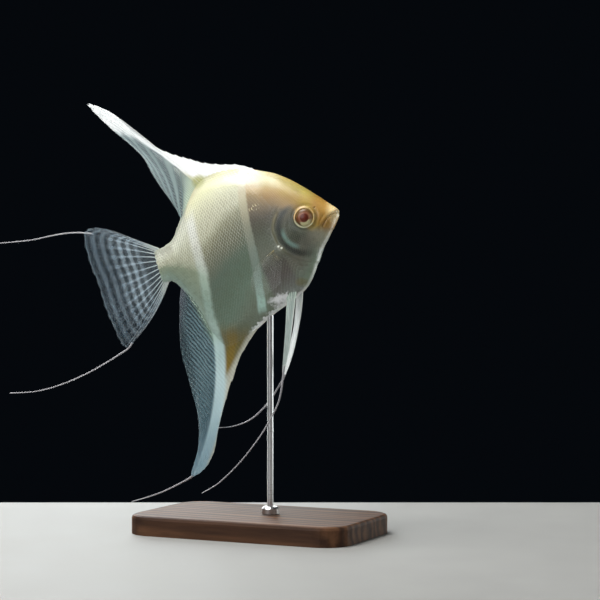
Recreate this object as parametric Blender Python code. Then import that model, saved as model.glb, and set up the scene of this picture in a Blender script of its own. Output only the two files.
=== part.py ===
"""Albino freshwater angelfish (Pterophyllum scalare), a life-size still model on a display stand.

The fish is modelled in a frame of its own: x runs forward from the tail base, y to its left, z up its
back, and every place on it is a fraction of the standard length, the distance from tail base to snout.
The empty "fish" then lifts it over the stand, nose up. The body is one closed form that is parted into
head, lower jaw, gill covers, trunk and tail stalk. Each fin is a fan of rays between a base line and a
tip line, cut where it meets the body. All lengths are in metres.
"""

import math

import bmesh
import bpy
from mathutils import Euler, Matrix, Vector

# ---- driving dimensions -------------------------------------------------------------------------------
STANDARD_LENGTH = 0.085
NOSE_UP = math.radians(18.0)
TAIL_BASE_AT = Vector((-0.046, 0.0, 0.1135))
GAP = 0.0003  # between neighbouring pieces
FIN_GAP = 0.0005  # between the body and what reaches into it: fins and rod

# ---- body: dorsal edge (x, z), ventral edge (x, z), half width, height of the widest part, fullness ------
# The height runs from 0 at the ventral edge to 1 at the dorsal edge. A low fullness gives a round section,
# a high one a section that thins early towards its edges.
BODY_SECTIONS = [
    (0.000, 0.090, 0.000, -0.090, 0.021, 0.50, 0.50),
    (0.045, 0.094, 0.036, -0.100, 0.027, 0.50, 0.55),
    (0.100, 0.118, 0.068, -0.145, 0.036, 0.55, 0.65),
    (0.158, 0.188, 0.105, -0.230, 0.047, 0.57, 0.75),
    (0.228, 0.270, 0.138, -0.345, 0.060, 0.58, 0.85),
    (0.300, 0.336, 0.165, -0.450, 0.072, 0.58, 0.95),
    (0.375, 0.360, 0.225, -0.520, 0.083, 0.57, 0.95),
    (0.475, 0.350, 0.350, -0.492, 0.094, 0.55, 0.85),
    (0.584, 0.315, 0.505, -0.434, 0.103, 0.52, 0.72),
    (0.671, 0.271, 0.635, -0.397, 0.108, 0.50, 0.64),
    (0.735, 0.234, 0.730, -0.358, 0.109, 0.50, 0.58),
    (0.800, 0.180, 0.800, -0.285, 0.106, 0.50, 0.54),
    (0.860, 0.118, 0.855, -0.213, 0.097, 0.50, 0.52),
    (0.912, 0.058, 0.905, -0.165, 0.081, 0.50, 0.50),
    (0.957, 0.003, 0.948, -0.122, 0.059, 0.50, 0.50),
    (0.984, -0.028, 0.977, -0.090, 0.040, 0.50, 0.48),
    (0.999, -0.048, 0.993, -0.074, 0.022, 0.50, 0.45),
]
RINGS_PER_SECTION = 2
OUTLINE_STEPS = 2
SIDE_POINTS = 12  # from the dorsal edge to the ventral edge, on one side
TAIL_SWAY = -0.075  # how fast the tail curves to the fish's right
SWAY_FROM = 0.30

# ---- how the body is parted: outlines in side view ---------------------------------------------------------
SHOULDER_LINE = [
    (0.705, 0.420), (0.692, 0.280), (0.702, 0.140), (0.694, 0.040), (0.673, -0.045),
    (0.681, -0.120), (0.712, -0.185), (0.765, -0.240), (0.830, -0.280), (0.900, -0.340),
]
STALK_LINE = [(0.100, 0.400), (0.092, 0.100), (0.084, 0.000), (0.070, -0.100), (0.030, -0.300)]
JAW_OUTLINE = [
    (1.050, -0.060), (0.998, -0.062), (0.960, -0.077), (0.932, -0.098), (0.914, -0.122),
    (0.900, -0.165), (0.895, -0.235), (0.970, -0.250), (1.060, -0.140),
]
GILL_COVER_OUTLINE = [
    (0.758, 0.062), (0.717, 0.022), (0.691, -0.045), (0.698, -0.118), (0.727, -0.180),
    (0.775, -0.226), (0.822, -0.224), (0.834, -0.185), (0.808, -0.120), (0.783, -0.050), (0.779, 0.025),
]
GILL_COVER_THICKNESS = 0.0012

# ---- eyes ----------------------------------------------------------------------------------------------------
EYE_STATION = (0.856, -0.045)
EYE_RADIUS = 0.0043
EYE_HALF_DEPTH = 0.0028
EYE_SUNK = 0.0016  # centre of the eye under the skin

# ---- fins: key rays as (base x, z), (bend x, z), (tip x, z), front to back ---------------------------------------
DORSAL_RAYS = [
    ((0.655, 0.250), (0.640, 0.276), (0.621, 0.303)),
    ((0.590, 0.285), (0.570, 0.315), (0.545, 0.350)),
    ((0.520, 0.305), (0.490, 0.340), (0.453, 0.385)),
    ((0.460, 0.315), (0.410, 0.368), (0.359, 0.430)),
    ((0.410, 0.320), (0.350, 0.400), (0.295, 0.474)),
    ((0.370, 0.320), (0.295, 0.428), (0.225, 0.521)),
    ((0.340, 0.318), (0.240, 0.468), (0.137, 0.594)),
    ((0.325, 0.314), (0.180, 0.540), (0.036, 0.716)),
    ((0.315, 0.310), (0.130, 0.620), (-0.056, 0.852)),
    ((0.305, 0.305), (0.095, 0.645), (-0.178, 0.946)),
    ((0.290, 0.295), (0.095, 0.600), (-0.088, 0.780)),
    ((0.270, 0.280), (0.110, 0.520), (0.000, 0.654)),
    ((0.245, 0.258), (0.130, 0.430), (0.054, 0.560)),
    ((0.215, 0.225), (0.150, 0.345), (0.077, 0.465)),
    ((0.188, 0.190), (0.155, 0.270), (0.110, 0.362)),
    ((0.165, 0.160), (0.160, 0.200), (0.162, 0.232)),
]
DORSAL_SPINES = 12
ANAL_RAYS = [
    ((0.450, -0.438), (0.430, -0.453), (0.405, -0.470)),
    ((0.400, -0.460), (0.365, -0.490), (0.330, -0.524)),
    ((0.345, -0.470), (0.300, -0.530), (0.252, -0.594)),
    ((0.300, -0.475), (0.240, -0.590), (0.180, -0.690)),
    ((0.262, -0.470), (0.185, -0.630), (0.104, -0.786)),
    ((0.235, -0.462), (0.130, -0.710), (0.040, -0.888)),
    ((0.212, -0.450), (0.080, -0.800), (-0.018, -0.992)),
    ((0.201, -0.438), (0.050, -0.860), (-0.092, -1.058)),
    ((0.190, -0.425), (0.020, -0.880), (-0.172, -1.068)),
    ((0.170, -0.385), (0.005, -0.740), (-0.100, -0.952)),
    ((0.150, -0.325), (-0.005, -0.600), (-0.052, -0.800)),
    ((0.128, -0.250), (-0.005, -0.450), (-0.043, -0.625)),
    ((0.100, -0.170), (0.000, -0.310), (-0.036, -0.432)),
    ((0.072, -0.118), (0.035, -0.180), (0.018, -0.240)),
]
ANAL_SPINES = 6
CAUDAL_RAYS = [
    ((-0.004, 0.088), (-0.110, 0.168), (-0.225, 0.261)),
    ((-0.004, 0.076), (-0.160, 0.205), (-0.320, 0.311)),
    ((-0.004, 0.064), (-0.190, 0.195), (-0.387, 0.300)),
    ((-0.004, 0.040), (-0.190, 0.120), (-0.403, 0.160)),
    ((-0.004, 0.010), (-0.180, 0.020), (-0.393, 0.030)),
    ((-0.004, -0.020), (-0.180, -0.070), (-0.389, -0.098)),
    ((-0.004, -0.048), (-0.180, -0.155), (-0.368, -0.212)),
    ((-0.004, -0.066), (-0.165, -0.215), (-0.350, -0.318)),
    ((-0.004, -0.078), (-0.140, -0.230), (-0.314, -0.333)),
    ((-0.004, -0.090), (-0.100, -0.212), (-0.215, -0.282)),
]
PECTORAL_RAYS = [
    ((0.000, 0.020), (-0.070, 0.034), (-0.135, 0.032)),
    ((0.000, 0.012), (-0.100, 0.020), (-0.200, 0.004)),
    ((0.000, 0.004), (-0.115, -0.005), (-0.232, -0.036)),
    ((0.000, -0.005), (-0.110, -0.030), (-0.222, -0.080)),
    ((0.000, -0.013), (-0.085, -0.050), (-0.176, -0.110)),
    ((0.000, -0.020), (-0.050, -0.060), (-0.108, -0.114)),
]
PECTORAL_AT = (0.678, -0.160)
PECTORAL_DROOP = math.radians(-30.0)
PECTORAL_SPREAD = math.radians(20.0)
# The blade and its long first ray as stations (x, y outwards, z, width of the blade there).
PELVIC_RIGHT = [
    (0.640, 0.030, -0.385, 0.046), (0.610, 0.040, -0.470, 0.040), (0.578, 0.050, -0.555, 0.034),
    (0.543, 0.053, -0.635, 0.030), (0.500, 0.056, -0.722, 0.013),
]
PELVIC_LEFT = [
    (0.665, 0.030, -0.365, 0.034), (0.630, 0.042, -0.438, 0.033), (0.585, 0.050, -0.520, 0.030),
    (0.528, 0.053, -0.613, 0.032), (0.477, 0.055, -0.686, 0.026), (0.446, 0.057, -0.728, 0.013),
]
STREAMERS = {  # long free rays: places (x, y, z), then the radius at the root and at the tip
    "caudal_streamer_upper": (
        [(-0.390, 0.0, 0.306), (-0.430, 0.0, 0.321), (-0.500, 0.0, 0.340), (-0.590, 0.0, 0.354),
         (-0.690, 0.0, 0.368), (-0.820, 0.0, 0.398), (-0.950, 0.0, 0.432)],
        0.00050, 0.00032,
    ),
    "caudal_streamer_lower": (
        [(-0.322, 0.0, -0.345), (-0.380, 0.0, -0.360), (-0.450, 0.0, -0.376), (-0.585, 0.0, -0.400),
         (-0.740, 0.0, -0.412), (-0.885, 0.0, -0.404), (-1.025, 0.0, -0.370)],
        0.00050, 0.00032,
    ),
    "anal_streamer": (
        [(-0.182, 0.0, -1.074), (-0.210, 0.0, -1.080), (-0.250, 0.0, -1.087), (-0.340, 0.0, -1.100),
         (-0.430, 0.0, -1.104), (-0.532, 0.0, -1.102)],
        0.00060, 0.00034,
    ),
    "pelvic_streamer_right": (
        [(0.494, -0.057, -0.737), (0.460, -0.059, -0.808), (0.424, -0.060, -0.862),
         (0.352, -0.062, -0.932), (0.260, -0.063, -1.003), (0.136, -0.064, -1.080),
         (0.013, -0.063, -1.138), (-0.055, -0.062, -1.158), (-0.113, -0.060, -1.168)],
        0.00050, 0.00032,
    ),
    "pelvic_streamer_left": (
        [(0.437, 0.058, -0.740), (0.402, 0.060, -0.768), (0.315, 0.062, -0.832),
         (0.226, 0.063, -0.874), (0.154, 0.064, -0.889), (0.079, 0.065, -0.887), (0.005, 0.065, -0.872)],
        0.00050, 0.00032,
    ),
}
STREAMER_SIDES = 5
RAY_HALF_THICKNESS = (0.00075, 0.00030)  # at the root and at the edge of a fin
WEB_HALF_THICKNESS = (0.00050, 0.00026)

# ---- stand -------------------------------------------------------------------------------------------------------
BASE_SIZE = (0.100, 0.060, 0.008)
BASE_CORNER = 0.012
BASE_CHAMFER = 0.0014
ROD_AT_X = 0.0050
ROD_RADIUS = 0.0013
COLLAR_RADIUS = 0.0036
COLLAR_HEIGHT = 0.0030
ROD_LENGTH = 0.090  # before it is cut off under the belly

COLOURS = {  # red, green, blue, roughness, metallic
    "skin": (0.80, 0.76, 0.66, 0.45, 0.0),
    "forehead": (0.80, 0.58, 0.28, 0.45, 0.0),
    "fin": (0.82, 0.86, 0.88, 0.40, 0.0),
    "eye": (0.30, 0.06, 0.04, 0.10, 0.0),
    "stand_wood": (0.13, 0.07, 0.04, 0.45, 0.0),
    "stand_steel": (0.62, 0.62, 0.63, 0.30, 1.0),
}


def clear_scene():
    for obj in list(bpy.data.objects):
        bpy.data.objects.remove(obj)


def material(name):
    found = bpy.data.materials.get(name)
    if found:
        return found
    red, green, blue, roughness, metallic = COLOURS[name]
    made = bpy.data.materials.new(name)
    made.use_nodes = True
    shader = made.node_tree.nodes["Principled BSDF"]
    shader.inputs["Base Color"].default_value = (red, green, blue, 1.0)
    shader.inputs["Roughness"].default_value = roughness
    shader.inputs["Metallic"].default_value = metallic
    return made


def mixed(rows, at):
    """A smooth curve through rows of numbers, read at a row number that may be fractional."""
    last = len(rows) - 1
    i = min(int(at), last - 1)
    f = at - i
    before, here, after, beyond = (rows[min(max(i + k, 0), last)] for k in (-1, 0, 1, 2))
    return tuple(
        0.5 * (2 * b + (c - a) * f + (2 * a - 5 * b + 4 * c - d) * f**2 + (3 * b - a - 3 * c + d) * f**3)
        for a, b, c, d in zip(before, here, after, beyond)
    )


def swayed(x, y, z):
    """A place given in standard lengths, in metres, with the tail's sideways curve."""
    behind = max(0.0, SWAY_FROM - x)
    return Vector((x, y + TAIL_SWAY * behind**2, z)) * STANDARD_LENGTH


def new_object(name, mesh, finish, parent):
    obj = bpy.data.objects.new(name, mesh)
    bpy.context.scene.collection.objects.link(obj)
    obj.parent = parent
    mesh.materials.append(material(finish))
    mesh.shade_smooth()
    mesh.set_sharp_from_angle(angle=math.radians(40.0))
    return obj


def mesh_from(name, points, faces):
    """A closed mesh whose faces all point outwards."""
    mesh = bpy.data.meshes.new(name)
    mesh.from_pydata([tuple(p) for p in points], [], faces)
    shape = bmesh.new()
    shape.from_mesh(mesh)
    bmesh.ops.recalc_face_normals(shape, faces=shape.faces)
    shape.to_mesh(mesh)
    shape.free()
    return mesh


def boolean(obj, operation, other):
    step = obj.modifiers.new(f"{operation.lower()} {other.name}", "BOOLEAN")
    step.operation = operation
    step.object = other
    step.solver = "EXACT"


def hidden(obj):
    obj.hide_render = True
    obj.display_type = "WIRE"
    return obj


# ---- body -----------------------------------------------------------------------------------------------------
def body_half_width(height, widest, fullness):
    """Share of a section's half width at a height from 0, the ventral edge, to 1, the dorsal edge."""
    away = (height - widest) / (1 - widest if height > widest else widest)
    return (1 - min(1.0, abs(away)) ** 2) ** fullness


def body_point(ring, height, side, inflate=0.0):
    """A place on the skin: ring is a section number, side is -1 for the fish's right and 1 for its left."""
    dx, dz, vx, vz, width, widest, fullness = mixed(BODY_SECTIONS, ring)
    grow = inflate / STANDARD_LENGTH
    along = Vector((dx - vx, dz - vz))
    out = along.normalized() * grow
    low, high = Vector((vx, vz)) - out, Vector((dx, dz)) + out
    place = low.lerp(high, height)
    across = (width + grow) * body_half_width(height, widest, fullness)
    return swayed(place.x, side * across, place.y)


def body_mesh(name, inflate=0.0):
    rings = (len(BODY_SECTIONS) - 1) * RINGS_PER_SECTION
    heights = [0.5 + 0.5 * math.cos(math.pi * k / (SIDE_POINTS - 1)) for k in range(SIDE_POINTS)]
    around = [(h, 1) for h in heights] + [(h, -1) for h in heights[-2:0:-1]]
    points = []
    for r in range(rings + 1):
        points += [body_point(r / RINGS_PER_SECTION, h, side, inflate) for h, side in around]
    ends = Vector((inflate, 0.0, 0.0))
    n = len(around)
    for k in range(n):
        points[k] -= ends
        points[-1 - k] += ends
    faces = [
        (r * n + k, r * n + (k + 1) % n, (r + 1) * n + (k + 1) % n, (r + 1) * n + k)
        for r in range(rings)
        for k in range(n)
    ]
    for first in (0, rings * n):
        for k in range(SIDE_POINTS - 1):
            left, right = first + k, first + (n - k) % n
            corners = [left, left + 1, first + n - k - 1, right]
            faces.append(tuple(dict.fromkeys(corners)))
    return mesh_from(name, points, faces)


def offset_outline(outline, distance):
    """A closed smooth outline in side view, moved outwards by a distance in standard lengths."""
    count = len(outline)
    looped = [outline[-1]] + outline + outline[:2]
    curve = [Vector(mixed(looped, 1 + k / OUTLINE_STEPS)) for k in range(count * OUTLINE_STEPS)]
    area = sum(a.x * b.y - a.y * b.x for a, b in zip(curve, curve[1:] + curve[:1]))
    turn = 1 if area > 0 else -1
    moved = []
    for k, place in enumerate(curve):
        tangent = (curve[(k + 1) % len(curve)] - curve[k - 1]).normalized()
        moved.append(place + Vector((tangent.y, -tangent.x)) * distance * turn)
    return moved


def side_prism(name, outline, low_y, high_y, parent):
    """A closed outline in side view, drawn out from low_y to high_y."""
    count = len(outline)
    points = [Vector((p.x, y, p.y)) * STANDARD_LENGTH for y in (low_y, high_y) for p in outline]
    faces = [tuple(range(count)), tuple(range(count, 2 * count))]
    faces += [(k, (k + 1) % count, (k + 1) % count + count, k + count) for k in range(count)]
    return hidden(new_object(name, mesh_from(name, points, faces), "skin", parent))


def shifted_line(line, distance):
    """An open line in side view moved sideways, ahead for a positive distance."""
    last = (len(line) - 1) * OUTLINE_STEPS
    curve = [Vector(mixed(line, k / OUTLINE_STEPS)) for k in range(last + 1)]
    moved = []
    for k, place in enumerate(curve):
        ahead, behind = curve[min(k + 1, len(curve) - 1)], curve[max(k - 1, 0)]
        tangent = (ahead - behind).normalized()
        moved.append(place + Vector((-tangent.y, tangent.x)) * distance)
    return moved


def build_body(fish):
    half_gap = 0.5 * GAP / STANDARD_LENGTH
    wide = 0.3
    shoulder_ahead = shifted_line(SHOULDER_LINE, half_gap)
    shoulder_behind = shifted_line(SHOULDER_LINE, -half_gap)
    stalk_ahead = shifted_line(STALK_LINE, half_gap)
    stalk_behind = shifted_line(STALK_LINE, -half_gap)
    far = [Vector((1.3, shoulder_ahead[-1].y)), Vector((1.3, shoulder_ahead[0].y))]
    head_region = side_prism("head_region", shoulder_ahead + far, -wide, wide, fish)
    stalk_tail = [Vector((-0.2, stalk_behind[-1].y)), Vector((-0.2, stalk_behind[0].y))]
    stalk_region = side_prism("stalk_region", stalk_behind + stalk_tail, -wide, wide, fish)
    below = [Vector((0.9, -0.7)), Vector((-0.1, -0.7))]
    trunk_outline = shoulder_behind + below + stalk_ahead[::-1]
    trunk_region = side_prism("trunk_region", trunk_outline, -wide, wide, fish)

    head = new_object("head", body_mesh("head"), "forehead", fish)
    boolean(head, "INTERSECT", head_region)
    trunk = new_object("trunk", body_mesh("trunk"), "skin", fish)
    boolean(trunk, "INTERSECT", trunk_region)
    stalk = new_object("tail_stalk", body_mesh("tail_stalk"), "skin", fish)
    boolean(stalk, "INTERSECT", stalk_region)

    jaw_region = side_prism("jaw_region", offset_outline(JAW_OUTLINE, -half_gap), -wide, wide, fish)
    jaw_room = side_prism("jaw_room", offset_outline(JAW_OUTLINE, half_gap), -wide, wide, fish)
    jaw = new_object("lower_jaw", body_mesh("lower_jaw"), "skin", fish)
    boolean(jaw, "INTERSECT", jaw_region)
    boolean(head, "DIFFERENCE", jaw_room)

    behind_cover = hidden(
        new_object("behind_cover", body_mesh("behind_cover", -GILL_COVER_THICKNESS), "skin", fish)
    )
    behind_room = hidden(
        new_object("behind_room", body_mesh("behind_room", -GILL_COVER_THICKNESS - GAP), "skin", fish)
    )
    for side, word in ((1, "left"), (-1, "right")):
        span = sorted((side * 0.02, side * wide))
        inner = offset_outline(GILL_COVER_OUTLINE, -half_gap)
        outer = offset_outline(GILL_COVER_OUTLINE, half_gap)
        cover_region = side_prism(f"cover_region_{word}", inner, *span, fish)
        cover_room = side_prism(f"cover_room_{word}", outer, *span, fish)
        boolean(cover_room, "DIFFERENCE", behind_room)
        cover = new_object(f"gill_cover_{word}", body_mesh(f"gill_cover_{word}"), "skin", fish)
        boolean(cover, "INTERSECT", cover_region)
        boolean(cover, "DIFFERENCE", behind_cover)
        boolean(head, "DIFFERENCE", cover_room)
    return head


# ---- eyes -----------------------------------------------------------------------------------------------------
def skin_place(station, side):
    """Where a side-view place lies on the skin, and the way the skin faces there."""
    x, z = (value * STANDARD_LENGTH for value in station)

    def miss(place):
        skin = body_point(*place, side)
        return (skin.x - x) ** 2 + (skin.z - z) ** 2

    ring, height = min(((r / 20, h / 60) for r in range(321) for h in range(61)), key=miss)
    step = 0.05
    along = body_point(ring + step, height, side) - body_point(ring - step, height, side)
    up = body_point(ring, height + step, side) - body_point(ring, height - step, side)
    outward = along.cross(up).normalized()
    return body_point(ring, height, side), outward * (1 if outward.y * side > 0 else -1)


def eye_mesh(name, grow):
    """An eyeball flattened along its own z, which looks out of the head."""
    ball = bmesh.new()
    bmesh.ops.create_uvsphere(ball, u_segments=16, v_segments=8, radius=1.0)
    size = Matrix.Diagonal((EYE_RADIUS + grow, EYE_RADIUS + grow, EYE_HALF_DEPTH + grow, 1.0))
    bmesh.ops.transform(ball, matrix=size, verts=ball.verts)
    mesh = bpy.data.meshes.new(name)
    ball.to_mesh(mesh)
    ball.free()
    return mesh


def build_eyes(fish, head):
    for side, word in ((1, "left"), (-1, "right")):
        surface, outward = skin_place(EYE_STATION, side)
        turn = outward.to_track_quat("Z", "Y").to_euler()
        for name, grow in ((f"eye_{word}", 0.0), (f"socket_{word}", GAP)):
            obj = new_object(name, eye_mesh(name, grow), "eye", fish)
            obj.location = surface - outward * EYE_SUNK
            obj.rotation_euler = turn
        boolean(head, "DIFFERENCE", hidden(obj))


# ---- fins -----------------------------------------------------------------------------------------------------
def ray_point(rays, across, along):
    """A place in a fin: across is a key-ray number, along runs from 0 at the base to 1 at the tip."""
    row = mixed([base + bend + tip for base, bend, tip in rays], across)
    base, bend, tip = Vector(row[0:2]), Vector(row[2:4]), Vector(row[4:6])
    return base.lerp(bend, along).lerp(bend.lerp(tip, along), along)


def fin_grid(rays, columns, rows, spines, spine_share, notch, lean):
    """Points of a fin's middle sheet, and whether each column is a ray or the web between two."""
    grid = []
    for c in range(columns + 1):
        across = c / columns * (len(rays) - 1)
        is_ray = c % 2 == 0
        spiny = across / (len(rays) - 1) < spine_share
        reach = 1.0 if is_ray or not spiny else 1.0 - notch
        column = []
        for r in range(rows + 1):
            along = r / rows
            place = ray_point(rays, across, along * reach)
            column.append((swayed(place.x, lean(place.x, place.y), place.y), is_ray, along))
        grid.append(column)
    return grid


def sheet_solid(name, grid):
    """A closed thin solid from a grid of middle points, thicker along its rays and at its base."""
    columns, rows = len(grid), len(grid[0])
    points = []
    for side in (1, -1):
        for column in grid:
            for place, is_ray, along in column:
                root, edge = RAY_HALF_THICKNESS if is_ray else WEB_HALF_THICKNESS
                half = root + (edge - root) * along
                points.append(place + Vector((0.0, side * half, 0.0)))
    back = columns * rows
    faces = []
    for c in range(columns - 1):
        for r in range(rows - 1):
            a = c * rows + r
            quad = (a, a + 1, a + rows + 1, a + rows)
            faces += [quad, tuple(k + back for k in quad)]
    rim = [r for r in range(rows)] + [c * rows + rows - 1 for c in range(1, columns)]
    rim += [(columns - 1) * rows + r for r in range(rows - 2, -1, -1)]
    rim += [c * rows for c in range(columns - 2, 0, -1)]
    faces += [(a, b, b + back, a + back) for a, b in zip(rim, rim[1:] + rim[:1])]
    return mesh_from(name, points, faces)


def dorsal_lean(x, z):
    return 0.03 * max(0.0, z - 0.35) ** 2


def anal_lean(x, z):
    return -0.03 * max(0.0, -0.5 - z) ** 2


def no_lean(x, z):
    return 0.0


def build_median_fins(fish, cutter):
    fins = {
        "dorsal_fin": (DORSAL_RAYS, 36, 6, DORSAL_SPINES, 0.40, 0.16, dorsal_lean),
        "anal_fin": (ANAL_RAYS, 36, 6, ANAL_SPINES, 0.28, 0.12, anal_lean),
        "caudal_fin": (CAUDAL_RAYS, 24, 5, 0, 0.0, 0.0, no_lean),
    }
    for name, shape in fins.items():
        fin = new_object(name, sheet_solid(name, fin_grid(*shape)), "fin", fish)
        if name != "caudal_fin":
            boolean(fin, "DIFFERENCE", cutter)


def build_pectoral_fins(fish, cutter):
    for side, word in ((1, "left"), (-1, "right")):
        surface, outward = skin_place(PECTORAL_AT, side)
        name = f"pectoral_fin_{word}"
        grid = fin_grid(PECTORAL_RAYS, 16, 4, 0, 0.0, 0.0, no_lean)
        fin = new_object(name, sheet_solid(name, unswayed(grid)), "fin", fish)
        fin.location = surface - outward * 0.0006
        fin.rotation_euler = Euler((0.0, PECTORAL_DROOP, -side * PECTORAL_SPREAD), "XYZ")
        boolean(fin, "DIFFERENCE", cutter)


def unswayed(grid):
    """The same grid laid flat, for a fin with a place of its own."""
    return [[(Vector((p.x, 0.0, p.z)), is_ray, along) for p, is_ray, along in column] for column in grid]


def build_pelvic_fins(fish, cutter):
    for side, word, stations in ((1, "left", PELVIC_LEFT), (-1, "right", PELVIC_RIGHT)):
        name = f"pelvic_fin_{word}"
        rows = 10
        columns = 4
        grid = []
        for c in range(columns + 1):
            column = []
            for r in range(rows + 1):
                x, y, z, width = mixed(stations, r / rows * (len(stations) - 1))
                back = (c / columns - 0.5) * width
                place = swayed(x - back, side * y, z)
                column.append((place, c % 2 == 0, r / rows))
            grid.append(column)
        fin = new_object(name, sheet_solid(name, grid), "fin", fish)
        boolean(fin, "DIFFERENCE", cutter)


def build_streamers(fish):
    for name, (places, root, tip) in STREAMERS.items():
        steps = 20
        centres = [swayed(*mixed(places, k / steps * (len(places) - 1))) for k in range(steps + 1)]
        points, faces = [], []
        for k, centre in enumerate(centres):
            ahead = centres[min(k + 1, steps)] - centres[max(k - 1, 0)]
            across = ahead.cross(Vector((0.0, 1.0, 0.0))).normalized()
            up = ahead.cross(across).normalized()
            radius = root + (tip - root) * k / steps
            for j in range(STREAMER_SIDES):
                angle = 2 * math.pi * j / STREAMER_SIDES
                points.append(centre + (across * math.cos(angle) + up * math.sin(angle)) * radius)
        n = STREAMER_SIDES
        for k in range(steps):
            faces += [
                (k * n + j, k * n + (j + 1) % n, (k + 1) * n + (j + 1) % n, (k + 1) * n + j)
                for j in range(n)
            ]
        faces += [tuple(range(n)), tuple(range(steps * n, (steps + 1) * n))]
        new_object(name, mesh_from(name, points, faces), "fin", fish)


# ---- stand ----------------------------------------------------------------------------------------------------
def build_stand(cutter):
    length, width, height = BASE_SIZE
    plate = bmesh.new()
    bmesh.ops.create_cube(plate, size=1.0)
    bmesh.ops.transform(plate, matrix=Matrix.Diagonal((length, width, height, 1.0)), verts=plate.verts)
    upright = [e for e in plate.edges if abs(e.verts[0].co.z - e.verts[1].co.z) > height / 2]
    bmesh.ops.bevel(plate, geom=upright, offset=BASE_CORNER, segments=6, affect="EDGES", profile=0.5)
    top = [e for e in plate.edges if all(v.co.z > height / 2 - 1e-6 for v in e.verts)]
    bmesh.ops.bevel(plate, geom=top, offset=BASE_CHAMFER, segments=2, affect="EDGES", profile=0.5)
    mesh = bpy.data.meshes.new("stand_base")
    plate.to_mesh(mesh)
    plate.free()
    base = new_object("stand_base", mesh, "stand_wood", None)
    base.location.z = height / 2

    collar_profile = [
        (ROD_RADIUS + GAP, 0.0), (COLLAR_RADIUS, 0.0), (COLLAR_RADIUS, COLLAR_HEIGHT * 0.7),
        (COLLAR_RADIUS * 0.8, COLLAR_HEIGHT), (ROD_RADIUS + GAP, COLLAR_HEIGHT),
    ]
    collar = new_object("stand_collar", turned("stand_collar", collar_profile, 24), "stand_steel", None)
    collar.location = (ROD_AT_X, 0.0, height + GAP)

    rod_profile = [(0.0, 0.0), (ROD_RADIUS, 0.0), (ROD_RADIUS, ROD_LENGTH), (0.0, ROD_LENGTH)]
    rod = new_object("stand_rod", turned("stand_rod", rod_profile, 16), "stand_steel", None)
    rod.location = (ROD_AT_X, 0.0, height + GAP)
    boolean(rod, "DIFFERENCE", cutter)


def turned(name, profile, sides):
    """A closed profile of (radius, height) turned round the z axis."""
    points, faces = [], []
    for j in range(sides):
        angle = 2 * math.pi * j / sides
        points += [(r * math.cos(angle), r * math.sin(angle), h) for r, h in profile]
    n = len(profile)
    for j in range(sides):
        for k in range(n):
            faces.append(
                (j * n + k, (j + 1) % sides * n + k, (j + 1) % sides * n + (k + 1) % n, j * n + (k + 1) % n)
            )
    mesh = bpy.data.meshes.new(name)
    mesh.from_pydata(points, [], faces)
    shape = bmesh.new()
    shape.from_mesh(mesh)
    bmesh.ops.remove_doubles(shape, verts=shape.verts, dist=1e-6)
    bmesh.ops.dissolve_degenerate(shape, edges=shape.edges, dist=1e-7)
    bmesh.ops.recalc_face_normals(shape, faces=shape.faces)
    shape.to_mesh(mesh)
    shape.free()
    return mesh


def main():
    clear_scene()
    fish = bpy.data.objects.new("fish", None)
    bpy.context.scene.collection.objects.link(fish)
    fish.location = TAIL_BASE_AT
    fish.rotation_euler = (0.0, -NOSE_UP, 0.0)
    head = build_body(fish)
    build_eyes(fish, head)
    cutter = hidden(new_object("body_room", body_mesh("body_room", FIN_GAP), "skin", fish))
    build_median_fins(fish, cutter)
    build_pectoral_fins(fish, cutter)
    build_pelvic_fins(fish, cutter)
    build_streamers(fish)
    build_stand(cutter)


main()
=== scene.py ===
"""A life-size still model of an albino freshwater angelfish on its display stand.

The fish has a frame of its own: x runs forward from the tail base, y to its left and z up its back, in
shares of the standard length from tail base to snout. Angles are in radians and other lengths in metres.
"""

import math

import bmesh
import bpy
import numpy as np
from mathutils import Euler, Matrix, Vector


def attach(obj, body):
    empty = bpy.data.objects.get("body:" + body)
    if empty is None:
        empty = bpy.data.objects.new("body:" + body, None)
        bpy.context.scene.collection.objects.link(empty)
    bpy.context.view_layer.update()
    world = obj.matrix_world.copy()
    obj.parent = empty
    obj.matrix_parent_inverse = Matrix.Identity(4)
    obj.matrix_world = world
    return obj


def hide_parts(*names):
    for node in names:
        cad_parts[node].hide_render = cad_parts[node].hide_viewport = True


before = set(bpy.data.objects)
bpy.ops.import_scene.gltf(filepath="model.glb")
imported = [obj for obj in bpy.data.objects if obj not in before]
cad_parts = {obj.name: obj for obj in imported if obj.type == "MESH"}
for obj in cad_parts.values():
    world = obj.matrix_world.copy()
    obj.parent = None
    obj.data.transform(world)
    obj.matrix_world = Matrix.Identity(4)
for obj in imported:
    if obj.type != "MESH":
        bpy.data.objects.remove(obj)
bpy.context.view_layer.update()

# ---- camera ---------------------------------------------------------------------------------------------
# A level camera with a long lens, ahead of the fish and on its right side, at the height of its belly.
VIEW_TURN = math.radians(25.0)
camera = bpy.data.objects.new("camera", bpy.data.cameras.new("camera"))
bpy.context.scene.collection.objects.link(camera)
camera.location = (0.3134, -0.6318, 0.0983)
camera.rotation_euler = (math.radians(90.0), 0.0, VIEW_TURN)
camera.data.lens = 100.0
camera.data.sensor_width = 36.0
camera.data.clip_start = 0.01
bpy.context.scene.camera = camera


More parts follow.
